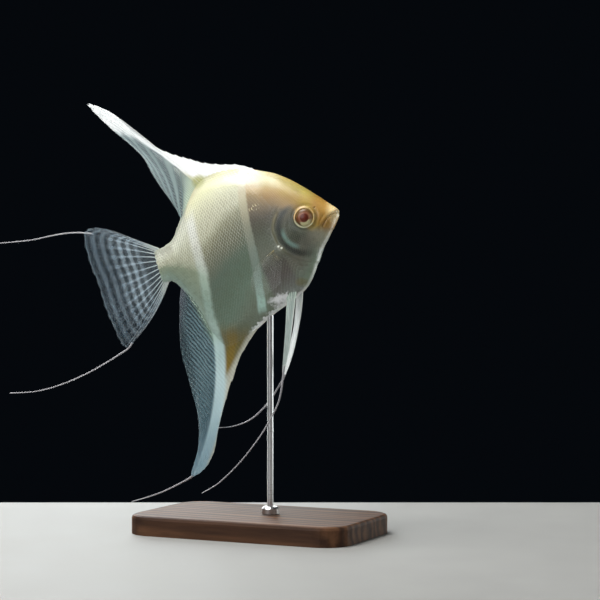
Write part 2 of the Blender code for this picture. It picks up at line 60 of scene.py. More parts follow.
# ---- display stand --------------------------------------------------------------------------------------
# A dark stained hardwood plate with a satin varnish, and one brushed steel rod set in a turned steel
# collar. The rod reaches up to the middle of the belly and carries the fish.
class Term:
    """The value at one socket. Arithmetic on it adds Math nodes to the tree that it belongs to."""

    def __init__(self, tree, socket):
        self.tree, self.socket = tree, socket

    def math(self, operation, *values):
        return self.tree.node("ShaderNodeMath", {"operation": operation}, dict(enumerate(values)))

    def __add__(self, other):
        return self.math("ADD", self, other)

    def __radd__(self, other):
        return self.math("ADD", other, self)

    def __sub__(self, other):
        return self.math("SUBTRACT", self, other)

    def __rsub__(self, other):
        return self.math("SUBTRACT", other, self)

    def __mul__(self, other):
        return self.math("MULTIPLY", self, other)

    def __rmul__(self, other):
        return self.math("MULTIPLY", other, self)

    def __truediv__(self, other):
        return self.math("DIVIDE", self, other)

    def __rtruediv__(self, other):
        return self.math("DIVIDE", other, self)

    def __pow__(self, other):
        return self.math("POWER", self, other)

    def __abs__(self):
        return self.math("ABSOLUTE", self)

    def sine(self):
        return self.math("SINE", self)

    def most(self, other):
        return self.math("MAXIMUM", self, other)

    def least(self, other):
        return self.math("MINIMUM", self, other)


class Nodes:
    """A node tree in the making."""

    def __init__(self, tree):
        self.tree = tree

    def node(self, kind, settings=None, sockets=None, out=0):
        """One node: its settings and ramp stops first, then the values or links of its sockets."""
        made = self.tree.nodes.new(kind)
        for name, value in (settings or {}).items():
            if name == "stops":
                ramp = made.color_ramp
                while len(ramp.elements) < len(value):
                    ramp.elements.new(0.5)
                for element, (position, colour) in zip(ramp.elements, value):
                    element.position = position
                    element.color = colour
            else:
                setattr(made, name, value)
        for key, value in (sockets or {}).items():
            if isinstance(value, Term):
                self.tree.links.new(value.socket, made.inputs[key])
            else:
                made.inputs[key].default_value = value
        return Term(self, made.outputs[out])


class Finish(Nodes):
    """A material: constants stand on the shader's own sockets, and what varies is fed to it."""

    def __init__(self, name, constants):
        self.material = bpy.data.materials.new(name)
        self.material.use_nodes = True
        super().__init__(self.material.node_tree)
        self.shader = self.tree.nodes["Principled BSDF"]
        for label, value in constants.items():
            self.shader.inputs[label].default_value = value

    def feed(self, label, term):
        self.tree.links.new(term.socket, self.shader.inputs[label])

    def place(self):
        return self.node("ShaderNodeTexCoord", out="Object")

    def attribute(self, name, out="Fac"):
        return self.node("ShaderNodeAttribute", {"attribute_name": name}, out=out)

    def axis(self, vector, letter):
        return self.node("ShaderNodeSeparateXYZ", sockets={0: vector}, out=letter)

    def fade(self, value, low, high):
        """0 at low and 1 at high, smooth between; low may be the larger number."""
        sockets = {0: value, 1: low, 2: high}
        return self.node("ShaderNodeMapRange", {"interpolation_type": "SMOOTHSTEP"}, sockets)

    def mix(self, share, under, over):
        return self.node("ShaderNodeMix", {"data_type": "RGBA"}, {0: share, 6: under, 7: over}, out=2)

    def ramp(self, value, *stops):
        return self.node("ShaderNodeValToRGB", {"stops": stops}, {0: value})

    def noise(self, vector, scale, detail=3.0, roughness=0.5):
        sockets = {"Vector": vector, "Scale": scale, "Detail": detail, "Roughness": roughness}
        return self.node("ShaderNodeTexNoise", sockets=sockets)

    def stretched(self, vector, scale, turn=(0.0, 0.0, 0.0)):
        return self.node("ShaderNodeMapping", sockets={0: vector, "Rotation": turn, "Scale": scale})

    def relief(self, height, strength, distance):
        sockets = {"Strength": strength, "Distance": distance, "Height": height}
        self.feed("Normal", self.node("ShaderNodeBump", sockets=sockets))


def tone(red, green, blue, strength=1.0):
    """A paint's colour, 0 to 255 a channel, as the linear light that shaders add up."""
    light = (((c / 255 + 0.055) / 1.055) ** 2.4 if c > 10 else c / 255 / 12.92 for c in (red, green, blue))
    return tuple(min(0.95, c * strength) for c in light) + (1.0,)


wood = Finish("stand_wood", {"Coat Roughness": 0.45, "Coat Weight": 0.08, "Specular IOR Level": 0.12})
board = wood.stretched(wood.place(), (0.55, 6.0, 6.0))
grain = wood.noise(board, 36.0, 7.0, 0.62)
pores = wood.noise(wood.stretched(wood.place(), (1.0, 22.0, 22.0)), 90.0, 3.0, 0.7)
rings = wood.node(
    "ShaderNodeTexWave",
    {"wave_type": "BANDS", "bands_direction": "Y"},
    {"Vector": board, "Scale": 9.0, "Distortion": 7.0, "Detail": 4.0, "Detail Scale": 1.6},
)
figure = 0.55 * grain + 0.30 * rings + 0.15 * pores
wood.feed(
    "Base Color",
    wood.ramp(
        figure,
        (0.25, (0.022, 0.010, 0.006, 1.0)),
        (0.48, (0.062, 0.028, 0.014, 1.0)),
        (0.72, (0.125, 0.058, 0.028, 1.0)),
    ),
)
wood.feed("Roughness", 0.56 + 0.22 * pores)
wood.relief(pores + 0.5 * rings, 0.25, 0.0002)
steel = Finish("stand_steel", {"Metallic": 1.0})
brushed = steel.noise(steel.stretched(steel.place(), (1.0, 1.0, 30.0)), 260.0, 3.0, 0.6)
steel.feed("Base Color", steel.mix(brushed, (0.50, 0.50, 0.51, 1.0), (0.70, 0.70, 0.71, 1.0)))
steel.feed("Roughness", 0.20 + 0.22 * brushed)
steel.relief(brushed, 0.15, 0.00004)
for name, finish in (("stand_base", wood), ("stand_collar", steel), ("stand_rod", steel)):
    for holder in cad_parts[name].material_slots:
        holder.material = finish.material

# ---- skin -----------------------------------------------------------------------------------------------
# One closed hide over head, gill covers, trunk and tail stalk: cast resin, painted in thin glazes. It is
# lofted through the body's sections, a scale's depth inside them, with the folds of the head worked in.
STANDARD_LENGTH = 0.085
NOSE_UP = math.radians(18.0)
TAIL_BASE_AT = (-0.046, 0.0, 0.1135)
# Dorsal edge (x, z), ventral edge (x, z), half width, height of the widest part, fullness. The first two
# sections run out over the roots of the tail fin.
BODY_SECTIONS = [
    (-0.036, 0.084, -0.036, -0.086, 0.0040, 0.50, 0.55),
    (-0.018, 0.088, -0.018, -0.089, 0.0125, 0.50, 0.52),
    (0.000, 0.090, 0.000, -0.090, 0.021, 0.50, 0.50),
    (0.045, 0.094, 0.036, -0.100, 0.027, 0.50, 0.55),
    (0.100, 0.118, 0.068, -0.145, 0.036, 0.55, 0.65),
    (0.158, 0.188, 0.105, -0.230, 0.047, 0.57, 0.75),
    (0.228, 0.270, 0.138, -0.345, 0.060, 0.58, 0.85),
    (0.300, 0.336, 0.165, -0.450, 0.072, 0.58, 0.95),
    (0.375, 0.360, 0.225, -0.520, 0.083, 0.57, 0.95),
    (0.475, 0.350, 0.350, -0.492, 0.094, 0.55, 0.85),
    (0.584, 0.315, 0.505, -0.434, 0.103, 0.52, 0.72),
    (0.671, 0.271, 0.635, -0.397, 0.108, 0.50, 0.64),
    (0.735, 0.234, 0.730, -0.358, 0.109, 0.50, 0.58),
    (0.800, 0.180, 0.800, -0.285, 0.106, 0.50, 0.54),
    (0.860, 0.118, 0.855, -0.213, 0.097, 0.50, 0.52),
    (0.912, 0.058, 0.905, -0.165, 0.081, 0.50, 0.50),
    (0.957, 0.003, 0.948, -0.122, 0.059, 0.50, 0.50),
    (0.984, -0.028, 0.977, -0.090, 0.040, 0.50, 0.48),
    (0.999, -0.048, 0.993, -0.074, 0.022, 0.50, 0.45),
]
LAST_SECTION = len(BODY_SECTIONS) - 1
SNOUT_ROUNDS_FROM = LAST_SECTION - 0.75
TAIL_ROUNDS_TO = 0.35
TAIL_SWAY = -0.075
SWAY_FROM = 0.30
COAT_DEPTH = 0.00020
SKIN_RINGS = 318
SKIN_SIDE_POINTS = 150
# Lines of the head in side view (x, z).
COVER_EDGE = [
    (0.775, 0.060), (0.737, 0.030), (0.700, -0.008), (0.681, -0.050), (0.684, -0.100), (0.692, -0.137),
    (0.719, -0.185), (0.770, -0.235), (0.835, -0.262), (0.900, -0.250),
]
COVER_GROOVE = [
    (0.752, 0.022), (0.715, -0.012), (0.696, -0.055), (0.700, -0.115), (0.722, -0.162),
    (0.755, -0.195), (0.800, -0.218), (0.850, -0.222),
]
CHEEK_FOLD = [
    (0.800, 0.010), (0.772, -0.050), (0.768, -0.105), (0.792, -0.155), (0.838, -0.182), (0.885, -0.185),
]
# Where flesh thins out into the long fins, along back and belly: it begins to, has, still has, and ends.
DORSAL_FIN_ROOT = (0.10, 0.22, 0.54, 0.70)
ANAL_FIN_ROOT = (0.04, 0.12, 0.36, 0.46)
FLESH_THINS_OVER = 0.085
MOUTH_LINE = [
    (1.030, -0.058), (1.000, -0.061), (0.985, -0.066), (0.955, -0.082), (0.930, -0.104), (0.920, -0.115),
]
LIP_FOLD = [(0.962, -0.052), (0.935, -0.072), (0.913, -0.100), (0.905, -0.128), (0.915, -0.150)]
THROAT_FOLD = [(0.745, -0.250), (0.790, -0.272), (0.840, -0.262), (0.885, -0.232)]
NOSTRIL = (0.915, -0.012)
EYE_STATION = (0.856, -0.045)
PECTORAL_AT = (0.678, -0.160)


def mixed(rows, at):
    """A smooth curve through rows of numbers, read at row numbers that may be fractional."""
    rows, at = np.asarray(rows, float), np.asarray(at, float)
    last = len(rows) - 1
    i = np.clip(np.floor(at).astype(int), 0, last - 1)
    f = (at - i)[..., None]
    a, b, c, d = (rows[np.clip(i + k, 0, last)] for k in (-1, 0, 1, 2))
    return 0.5 * (2 * b + (c - a) * f + (2 * a - 5 * b + 4 * c - d) * f**2 + (3 * b - a - 3 * c + d) * f**3)


def smooth(value, low, high):
    share = np.clip((value - low) / (high - low), 0.0, 1.0)
    return share * share * (3 - 2 * share)


def swell(value, middle, spread):
    return np.exp(-(((value - middle) / spread) ** 2))


def swayed(x, y, z):
    """Places in standard lengths, as metres of the fish's own frame, with the tail's sideways curve."""
    y = y + TAIL_SWAY * np.maximum(0.0, SWAY_FROM - x) ** 2
    return np.stack(np.broadcast_arrays(x, y, z), axis=-1) * STANDARD_LENGTH


def placed(points):
    """Points in metres of the fish's own frame, lifted over the stand with the nose up."""
    x, y, z = np.moveaxis(points, -1, 0)
    c, s = math.cos(NOSE_UP), math.sin(NOSE_UP)
    return np.stack([x * c - z * s, y, x * s + z * c], axis=-1) + np.array(TAIL_BASE_AT)


def beside(x, z, line):
    """Distance from a side-view line, above or ahead of it positive, and the share run along it."""
    curve = mixed(line, np.linspace(0, len(line) - 1, 6 * len(line)))
    best = np.full(np.shape(x), np.inf)
    signed, share = np.zeros(np.shape(x)), np.zeros(np.shape(x))
    for k, (start, end) in enumerate(zip(curve, curve[1:])):
        step = end - start
        reach = np.clip(((x - start[0]) * step[0] + (z - start[1]) * step[1]) / (step @ step), 0, 1)
        dx, dz = x - start[0] - reach * step[0], z - start[1] - reach * step[1]
        gap = np.hypot(dx, dz)
        nearer = gap < best
        best = np.where(nearer, gap, best)
        signed = np.where(nearer, np.sign(step[0] * dz - step[1] * dx) * gap, signed)
        share = np.where(nearer, (k + reach) / (len(curve) - 1), share)
    return signed, share


def modelling(x, z):
    """How far the hide stands out of the lofted body at side-view places, in metres."""
    tall, end = beside(x, z, COVER_EDGE)
    within = smooth(end, 0.02, 0.16) * smooth(end, 0.98, 0.80)
    out = within * smooth(tall, -0.004, 0.0060) * 0.00020 * np.exp(-np.maximum(tall, 0) / 0.060)
    out -= within * 0.00014 * swell(tall, -0.0060, 0.0055)
    groove, end = beside(x, z, COVER_GROOVE)
    out -= 0.00024 * swell(groove, 0.0, 0.0045) * smooth(end, 0.0, 0.15) * smooth(end, 1.0, 0.8)
    cheek, end = beside(x, z, CHEEK_FOLD)
    out -= 0.00014 * swell(cheek, 0.0, 0.0060) * smooth(end, 0.0, 0.2) * smooth(end, 1.0, 0.8)
    throat, end = beside(x, z, THROAT_FOLD)
    out -= 0.00018 * swell(throat, 0.0, 0.0055) * smooth(end, 0.0, 0.2) * smooth(end, 1.0, 0.8)
    mouth, end = beside(x, z, MOUTH_LINE)
    shut = smooth(end, 1.0, 0.86)
    out += shut * (0.00016 * swell(mouth, -0.0105, 0.0085) + 0.00020 * swell(mouth, 0.0115, 0.0095))
    out -= smooth(end, 1.0, 0.94) * 0.00040 * swell(mouth, 0.0, 0.0036)
    lip, end = beside(x, z, LIP_FOLD)
    out -= 0.00012 * swell(lip, 0.0, 0.0055) * smooth(end, 0.0, 0.25) * smooth(end, 1.0, 0.7)
    eye = np.hypot(x - EYE_STATION[0], z - EYE_STATION[1]) * STANDARD_LENGTH
    out += 0.00030 * swell(eye, 0.00412, 0.00042) - 0.00020 * swell(eye, 0.0052, 0.00070)
    out -= 0.0022 * smooth(eye, 0.00372, 0.00310)
    nostril = np.hypot(x - NOSTRIL[0], z - NOSTRIL[1]) * STANDARD_LENGTH
    out += 0.00004 * swell(nostril, 0.00062, 0.00026) - 0.00030 * swell(nostril, 0.0, 0.00034)
    arm = np.hypot(x - PECTORAL_AT[0] - 0.010, z - PECTORAL_AT[1]) * STANDARD_LENGTH
    return out + 0.00042 * swell(arm, 0.0, 0.0021)


def coat_room(x):
    """How deep the hide lies inside the solids: a scale's depth, and next to nothing on bare skin."""
    return COAT_DEPTH * (1 - 0.85 * smooth(x, 0.86, 0.95))


def thinned(x, back_gap, belly_gap):
    """The share of the body's thickness that is left by the roots of the long fins."""
    left = np.ones(np.shape(x))
    for (begins, full, still, ends), gap in ((DORSAL_FIN_ROOT, back_gap), (ANAL_FIN_ROOT, belly_gap)):
        at_root = smooth(x, begins, full) * smooth(x, ends, still)
        left = left * (1 - 0.72 * at_root * (1 - smooth(gap, -0.01, FLESH_THINS_OVER)))
    return left


def body_place(ring, height, side):
    """A place on the body in metres; height runs from 0 at the belly to 1 at the back."""
    dx, dz, vx, vz, width, widest, fullness = np.moveaxis(mixed(BODY_SECTIONS, ring), -1, 0)
    grow = -coat_room(dx) / STANDARD_LENGTH
    length = np.hypot(dx - vx, dz - vz)
    share = 0.5 + (height - 0.5) * (1 + 2 * grow / length)
    away = np.where(height > widest, (height - widest) / (1 - widest), (widest - height) / widest)
    across = (width + grow) * np.maximum(0.0, 1 - np.minimum(1.0, away) ** 2) ** fullness
    nose = np.clip((ring - SNOUT_ROUNDS_FROM) / (LAST_SECTION - SNOUT_ROUNDS_FROM), 0, 1)
    tail = np.clip((TAIL_ROUNDS_TO - ring) / TAIL_ROUNDS_TO, 0, 1)
    round_off = np.sqrt(np.maximum(0.0, 1 - nose**2.4)) * np.sqrt(np.maximum(0.0, 1 - tail**2))
    middle_share = 0.5 + (share - 0.5) * round_off
    x = vx + middle_share * (dx - vx)
    across = across * round_off * thinned(x, (1 - height) * length, height * length)
    return swayed(x, side * across, vz + middle_share * (dz - vz))


def crossed(along, up, side):
    """Outward unit vectors from steps taken towards the nose and towards the back."""
    out = np.cross(along, up)
    length = np.linalg.norm(out, axis=-1, keepdims=True)
    return out / np.maximum(length, 1e-15) * -np.asarray(side, float)[..., None]


def skin_place(ring, height, side):
    """The finished hide, folds and all, and the way it faces."""
    def worked(ring, height):
        step = 0.02
        before, after = np.maximum(ring - step, 0), np.minimum(ring + step, LAST_SECTION)
        below, above = np.maximum(height - 0.01, 0.0), np.minimum(height + 0.01, 1.0)
        along = body_place(after, height, side) - body_place(before, height, side)
        up = body_place(ring, above, side) - body_place(ring, below, side)
        here = body_place(ring, height, side)
        x, z = here[..., 0] / STANDARD_LENGTH, here[..., 2] / STANDARD_LENGTH
        return here + crossed(along, up, side) * modelling(x, z)[..., None]

    along = worked(np.minimum(ring + 0.03, LAST_SECTION), height) - worked(np.maximum(ring - 0.03, 0), height)
    up = worked(ring, np.minimum(height + 0.006, 1.0)) - worked(ring, np.maximum(height - 0.006, 0.0))
    return worked(ring, height), crossed(along, up, side)


def mesh_from(name, points, faces):
    """A closed mesh whose faces all point outwards."""
    mesh = bpy.data.meshes.new(name)
    mesh.from_pydata(np.asarray(points).tolist(), [], faces)
    shape = bmesh.new()
    shape.from_mesh(mesh)
    bmesh.ops.recalc_face_normals(shape, faces=shape.faces)
    shape.to_mesh(mesh)
    shape.free()
    mesh.shade_smooth()
    return mesh


def ring_faces(count, girth):
    """Faces through rings of points, closed at both ends by the two points that follow them."""
    faces = [
        (r * girth + k, r * girth + (k + 1) % girth, (r + 1) * girth + (k + 1) % girth, (r + 1) * girth + k)
        for r in range(count - 1)
        for k in range(girth)
    ]
    last = (count - 1) * girth
    faces += [((k + 1) % girth, k, count * girth) for k in range(girth)]
    return faces + [(last + k, last + (k + 1) % girth, count * girth + 1) for k in range(girth)]


def give(mesh, name, values):
    """Stores a number, or a vector, for each point of a mesh."""
    values = np.asarray(values, float)
    kind, field = ("FLOAT", "value") if values.ndim == 1 else ("FLOAT_VECTOR", "vector")
    stored = mesh.attributes.new(name, kind, "POINT")
    stored.data.foreach_set(field, values.ravel())


def new_piece(name, mesh, slot, *nodes):
    """A finished piece of the model, which rides with the model and stands for CAD nodes."""
    piece = bpy.data.objects.new(name, mesh)
    bpy.context.scene.collection.objects.link(piece)
    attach(piece, "root")
    if nodes:
        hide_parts(*nodes)
    return piece


def side_view(finish):
    """Side-view x and z of the fish's own frame, in standard lengths, from the place on the piece."""
    sockets = {0: finish.place(), "Location": TAIL_BASE_AT, "Rotation": (0.0, -NOSE_UP, 0.0)}
    sockets["Scale"] = (STANDARD_LENGTH,) * 3
    local = finish.node("ShaderNodeMapping", {"vector_type": "TEXTURE"}, sockets)
    return local, finish.axis(local, "X"), finish.axis(local, "Z")


def blob(finish, x, z, centre, size):
    """1 in the middle of an ellipse and 0 at its edge."""
    across, up = (x - centre[0]) / size[0], (z - centre[1]) / size[1]
    return finish.fade(across * across + up * up, 1.0, 0.0)


def second_band(x, z):
    """How far ahead of the middle of the rear pale band, which runs on down the anal fin, a place lies."""
    below = (z + 0.33).least(0.0)
    return x - 0.188 - 0.21 * (z + 0.33).most(0.0).least(0.21) + 0.58 * below * below


def orange_patch(finish, x, z):
    """A wedge over the end of the belly and the front of the anal fin, ahead of the rear band."""
    under = finish.fade(z + 0.3165 * x + 0.322, 0.030, -0.075)
    ahead = finish.fade(second_band(x, z), 0.018, 0.042)
    return under * ahead * finish.fade(z - 0.9 * x + 0.821, 0.010, 0.050)


def warm_brown(finish, x, z, cloud):
    heart = finish.fade(abs(x - 0.262 - 0.55 * (z + 0.47)) + 0.05 * (cloud - 0.5), 0.040, 0.008)
    return finish.mix(heart, tone(110, 102, 62), tone(126, 106, 45))


def olive_spot(finish, x, z):
    return blob(finish, x, z, (0.318, 0.338), (0.050, 0.046))


def arc(finish, x, z, centre, radius, half_width):
    """1 on a circle's line in side view, and 0 beside it."""
    dx, dz = x - centre[0], z - centre[1]
    return finish.fade(abs((dx * dx + dz * dz) ** 0.5 - radius), half_width, 0.0)


def glazes(finish, value, *stops):
    """A ramp of paints, each stop given as its place and its red, green and blue."""
    return finish.ramp(value, *((place, tone(*paint)) for place, *paint in stops))


def hide_colour(finish, height):
    """The painted markings with painted light and shade, the same on the skin and on the scales over it."""
    local, x, z = side_view(finish)
    cloud = finish.noise(local, 9.0, 4.0, 0.55)
    fleck = finish.noise(local, 42.0, 3.0, 0.6)
    drift = (cloud - 0.5) * 0.08
    level = height + drift
    # Between the bands: grey-green below, lighter towards the back and the tail; the back's lightness is
    # partly painted light.
    colour = glazes(
        finish, level + 0.55 * (0.38 - x),
        (0.08, 114, 125, 107), (0.20, 102, 122, 104), (0.30, 89, 107, 89), (0.42, 84, 100, 85),
        (0.50, 95, 101, 85), (0.58, 112, 114, 94), (0.64, 140, 140, 114), (0.70, 196, 194, 168),
        (0.76, 204, 202, 175), (0.86, 222, 220, 186), (0.92, 224, 222, 180), (1.00, 196, 190, 156),
    )
    rear = glazes(
        finish, level,
        (0.08, 146, 166, 152), (0.25, 130, 146, 127), (0.42, 134, 144, 119), (0.50, 186, 187, 162),
        (0.62, 214, 215, 190), (0.76, 227, 228, 210), (0.90, 158, 160, 144),
    )
    colour = finish.mix(finish.fade(second_band(x, z) + drift, 0.00, -0.05), colour, rear)
    # From the first band to the gill cover: warm above, brown-grey behind the cover, pinkish on the belly.
    front = glazes(
        finish, level,
        (0.04, 136, 142, 134), (0.10, 106, 105, 99), (0.18, 85, 78, 73), (0.26, 70, 65, 56),
        (0.36, 104, 107, 93), (0.45, 87, 92, 78), (0.56, 69, 70, 55), (0.64, 66, 58, 43),
        (0.70, 94, 78, 54), (0.76, 124, 104, 72), (0.81, 150, 125, 84), (0.86, 204, 180, 142),
        (0.92, 212, 206, 184),
    )
    colour = finish.mix(finish.fade(x + 0.4 * drift, 0.545, 0.580), colour, front)
    # The first band, which curves to the rear under the belly.
    down = z.least(0.0)
    across = abs(x - 0.550 - 0.06 * z.most(0.0) + 0.49 * down * down + 0.010 * (fleck - 0.5))
    first = finish.fade(across, 0.030, 0.015) * finish.fade(z, -0.42, -0.38)
    pale = glazes(
        finish, level,
        (0.10, 182, 216, 202), (0.20, 148, 170, 158), (0.30, 119, 135, 124), (0.45, 125, 134, 121),
        (0.60, 135, 134, 114), (0.68, 154, 147, 121), (0.76, 174, 165, 136), (0.84, 192, 181, 152),
        (0.92, 232, 227, 204),
    )
    colour = finish.mix(0.92 * first, colour, pale)
    # The second band, which runs on down the anal fin.
    second = finish.fade(abs(second_band(x, z) + 0.012 * (fleck - 0.5)), 0.044, 0.012)
    pale = glazes(
        finish, level,
        (0.10, 176, 199, 188), (0.25, 148, 172, 157), (0.40, 174, 192, 174), (0.52, 220, 224, 213),
        (0.60, 238, 238, 228), (0.72, 242, 243, 236),
    )
    colour = finish.mix(0.90 * second * finish.fade(height, 0.90, 0.72), colour, pale)
    # Head: grey cheek, and the warm crown over a line from the first band under the eye to the snout.
    cheek = glazes(
        finish, level,
        (0.02, 128, 146, 126), (0.08, 124, 134, 119), (0.15, 104, 105, 92), (0.22, 96, 95, 83),
        (0.30, 78, 80, 67), (0.38, 76, 83, 68), (0.46, 70, 75, 60), (0.54, 64, 65, 50),
        (0.62, 84, 76, 54),
    )
    cheek = finish.mix(0.7 * finish.fade(x, 0.82, 0.89), cheek, tone(164, 160, 138))
    cheek = finish.mix(finish.fade(x, 0.89, 0.96), cheek, tone(168, 148, 106))
    colour = finish.mix(finish.fade(x - 0.12 * abs(z + 0.08) + 0.4 * drift, 0.672, 0.705), colour, cheek)
    nape = glazes(
        finish, level,
        (0.62, 82, 71, 50), (0.70, 102, 83, 56), (0.75, 127, 100, 58), (0.80, 150, 115, 64),
        (0.85, 176, 145, 90), (0.92, 196, 184, 138),
    )
    brow = glazes(
        finish, level,
        (0.60, 112, 97, 66), (0.70, 136, 106, 60), (0.80, 156, 124, 62), (0.86, 170, 140, 68),
        (0.93, 182, 163, 96),
    )
    face = glazes(
        finish, x + 0.5 * drift,
        (0.83, 163, 129, 52), (0.88, 159, 134, 50), (0.92, 158, 118, 50), (0.955, 176, 136, 64),
        (0.985, 236, 212, 158),
    )
    brow_top = 0.7 * finish.fade(height, 0.80, 0.95) * finish.fade(x, 0.95, 0.86)
    face = finish.mix(brow_top, face, tone(178, 166, 92))
    crown = finish.mix(finish.fade(x + 0.5 * drift, 0.72, 0.79), nape, brow)
    crown = finish.mix(finish.fade(x + 0.5 * drift, 0.79, 0.86), crown, face)
    line = z - 0.089 + 0.366 * (x - 0.582) + 0.105 * finish.fade(x, 0.80, 0.87) + 0.5 * drift
    colour = finish.mix(finish.fade(line, -0.014, 0.034) * finish.fade(x, 0.62, 0.70), colour, crown)
    # Gill cover: its pale rear edge, painted shade in the groove ahead of that, and the blue-green crescent.
    low = finish.fade(z, 0.05, 0.01)
    edge = arc(finish, x, z, (0.816, -0.081), 0.135, 0.018) * low * finish.fade(x, 0.74, 0.71)
    colour = finish.mix(0.30 * edge * (0.4 + 1.2 * cloud), colour, tone(140, 136, 112))
    # Painted shade: near black along the groove under the cover's edge.
    groove = arc(finish, x, z, (0.838, -0.086), 0.126, 0.030) * low * finish.fade(x, 0.85, 0.77)
    colour = finish.mix(0.98 * groove, colour, tone(12, 22, 14))
    colour = finish.mix(0.85 * blob(finish, x, z, (0.782, -0.112), (0.040, 0.052)), colour, tone(46, 50, 32))
    sheen = arc(finish, x, z, (0.822, -0.087), 0.090, 0.018) * finish.fade(x, 0.800, 0.765)
    sheen = sheen * finish.fade(z, -0.050, -0.095) * (0.55 + 0.9 * fleck).least(1.0)
    colour = finish.mix(0.90 * sheen, colour, tone(106, 136, 126))
    throat = blob(finish, x, z, (0.722, -0.330), (0.036, 0.026))
    colour = finish.mix(0.60 * throat, colour, tone(124, 114, 66))
    # Painted rim light on the keel, a painted highlight behind the pelvic fins, the brown wedge at the anal
    # fin.
    painted_rim_light = finish.fade(height + 0.006 * (fleck - 0.5) - 0.008 * finish.fade(x, 0.70, 0.62), 0.018, 0.006)
    painted_rim_light = painted_rim_light * finish.fade(x, 0.34, 0.40) * finish.fade(x, 0.95, 0.88)
    painted_rim_light = painted_rim_light * (0.30 + 0.58 * finish.fade(x, 0.76, 0.66))
    colour = finish.mix(painted_rim_light, colour, tone(246, 255, 250))
    ragged_x, ragged_z = x + 0.11 * (fleck - 0.5), z + 0.06 * (fleck - 0.5) + 0.08 * (x - 0.588)
    # A painted highlight: a ragged near-white patch on the belly behind the pelvic fins.
    painted_glare = blob(finish, ragged_x, ragged_z, (0.590, -0.376), (0.086, 0.030))
    colour = finish.mix(painted_glare, colour, tone(252, 255, 253))
    colour = finish.mix(orange_patch(finish, x, z), colour, warm_brown(finish, x, z, cloud))
    colour = finish.mix(0.85 * olive_spot(finish, x, z), colour, tone(180, 180, 126))
    for spot in ((0.700, -0.149), (0.687, -0.136)):
        colour = finish.mix(blob(finish, x, z, spot, (0.009, 0.007)), colour, tone(236, 238, 224))
    mottle = finish.fade(fleck, 0.47, 0.66) * finish.fade(level, 0.70, 0.45)
    colour = finish.mix(0.22 * mottle, colour, tone(84, 86, 64))
    # Round the eye: a thin pale lid, brightest above, and shade outside it.
    dx, dz = x - EYE_STATION[0], z - EYE_STATION[1]
    eye = (dx * dx + dz * dz) ** 0.5 * (STANDARD_LENGTH * 1000)
    lid = 0.30 + 0.6 * finish.fade(abs(dz) - 0.6 * dx, 0.005, 0.045)
    lid = finish.fade(abs(eye - 4.05), 0.50, 0.10) * lid
    lid_tone = finish.mix(finish.fade(dz, -0.02, 0.02), tone(190, 188, 156), tone(222, 188, 136))
    colour = finish.mix(lid, colour, lid_tone)
    shade = finish.fade(abs(eye - 5.0), 0.8, 0.1) * finish.fade(dz - dx, 0.02, -0.04)
    return finish.mix(0.35 * shade, colour, tone(84, 78, 50)), local, x, z, fleck


flesh = {"IOR": 1.42, "Coat Roughness": 0.16, "Subsurface Weight": 0.18, "Subsurface Scale": 0.0012}
flesh["Subsurface Radius"] = (1.0, 0.6, 0.4)
hide = Finish("painted_skin", flesh | {"Coat Weight": 0.25})
painted, local, x, z, fleck = hide_colour(hide, hide.attribute("height"))
speckle = hide.noise(local, 150.0, 2.0, 0.6)
hide.feed("Base Color", hide.mix(0.22 * hide.fade(speckle, 0.52, 0.70), painted, tone(74, 60, 44)))
hide.feed("Roughness", 0.34 + 0.24 * fleck)
pits = hide.node("ShaderNodeTexVoronoi", {"feature": "SMOOTH_F1"}, {"Vector": local, "Scale": 110.0})
hide.relief(0.6 * pits + 0.4 * speckle, 0.35, 0.00008)

# Rings stand more than twice as close on the head, for its folds.
fine = np.linspace(0, LAST_SECTION, 4000)
centre_x = mixed(BODY_SECTIONS, fine)[:, 0]
run = np.cumsum(np.abs(np.gradient(centre_x)) * (1 + 1.5 * smooth(centre_x, 0.55, 0.70)) + 0.00002)
rings = np.interp(np.linspace(run[0], run[-1], SKIN_RINGS), run, fine)
steps = np.linspace(0, 1, SKIN_SIDE_POINTS)
levels = 0.65 * (1 - steps) + 0.35 * (0.5 + 0.5 * np.cos(math.pi * steps))
around = np.concatenate([levels, levels[-2:0:-1]])
sides = np.concatenate([np.ones(SKIN_SIDE_POINTS), -np.ones(SKIN_SIDE_POINTS - 2)])
grid_ring, grid_height = np.meshgrid(rings[1:-1], around, indexing="ij")
grid_side = np.broadcast_to(sides, grid_ring.shape)
points = skin_place(grid_ring, grid_height, grid_side)[0]
points[:, 0, 1] = points[:, SKIN_SIDE_POINTS - 1, 1] = 0.5 * (points[:, 1, 1] + points[:, -1, 1])
count, girth = points.shape[:2]
ends = [body_place(np.array([r]), np.array([0.5]), np.array([0.0]))[0] for r in (0.0, LAST_SECTION)]
points = np.concatenate([points.reshape(-1, 3), ends])
mesh = mesh_from("skin", placed(points), ring_faces(count, girth))
give(mesh, "height", np.concatenate([grid_height.ravel(), [0.5, 0.5]]))
mesh.materials.append(hide.material)
flesh_nodes = ("head", "lower_jaw", "gill_cover_left", "gill_cover_right", "trunk", "tail_stalk")
new_piece("skin", mesh, "skin", *flesh_nodes)

# ---- scales ---------------------------------------------------------------------------------------------
# Thin overlapping bony plates in straight rows from the gill cover to the tail, each with its free edge
# to the rear, and much smaller ones on nape, cheek and gill cover: a sheet of each, cast for each side.
SCALE_PITCH = 0.00132
SCALE_ROW = 0.00114
HEAD_SCALE_PITCH = 0.00084
HEAD_SCALE_ROW = 0.00072
ROWS_FROM = -0.03  # the side-view height of the first row
PATCH = 0.003  # of a scale in the baked map


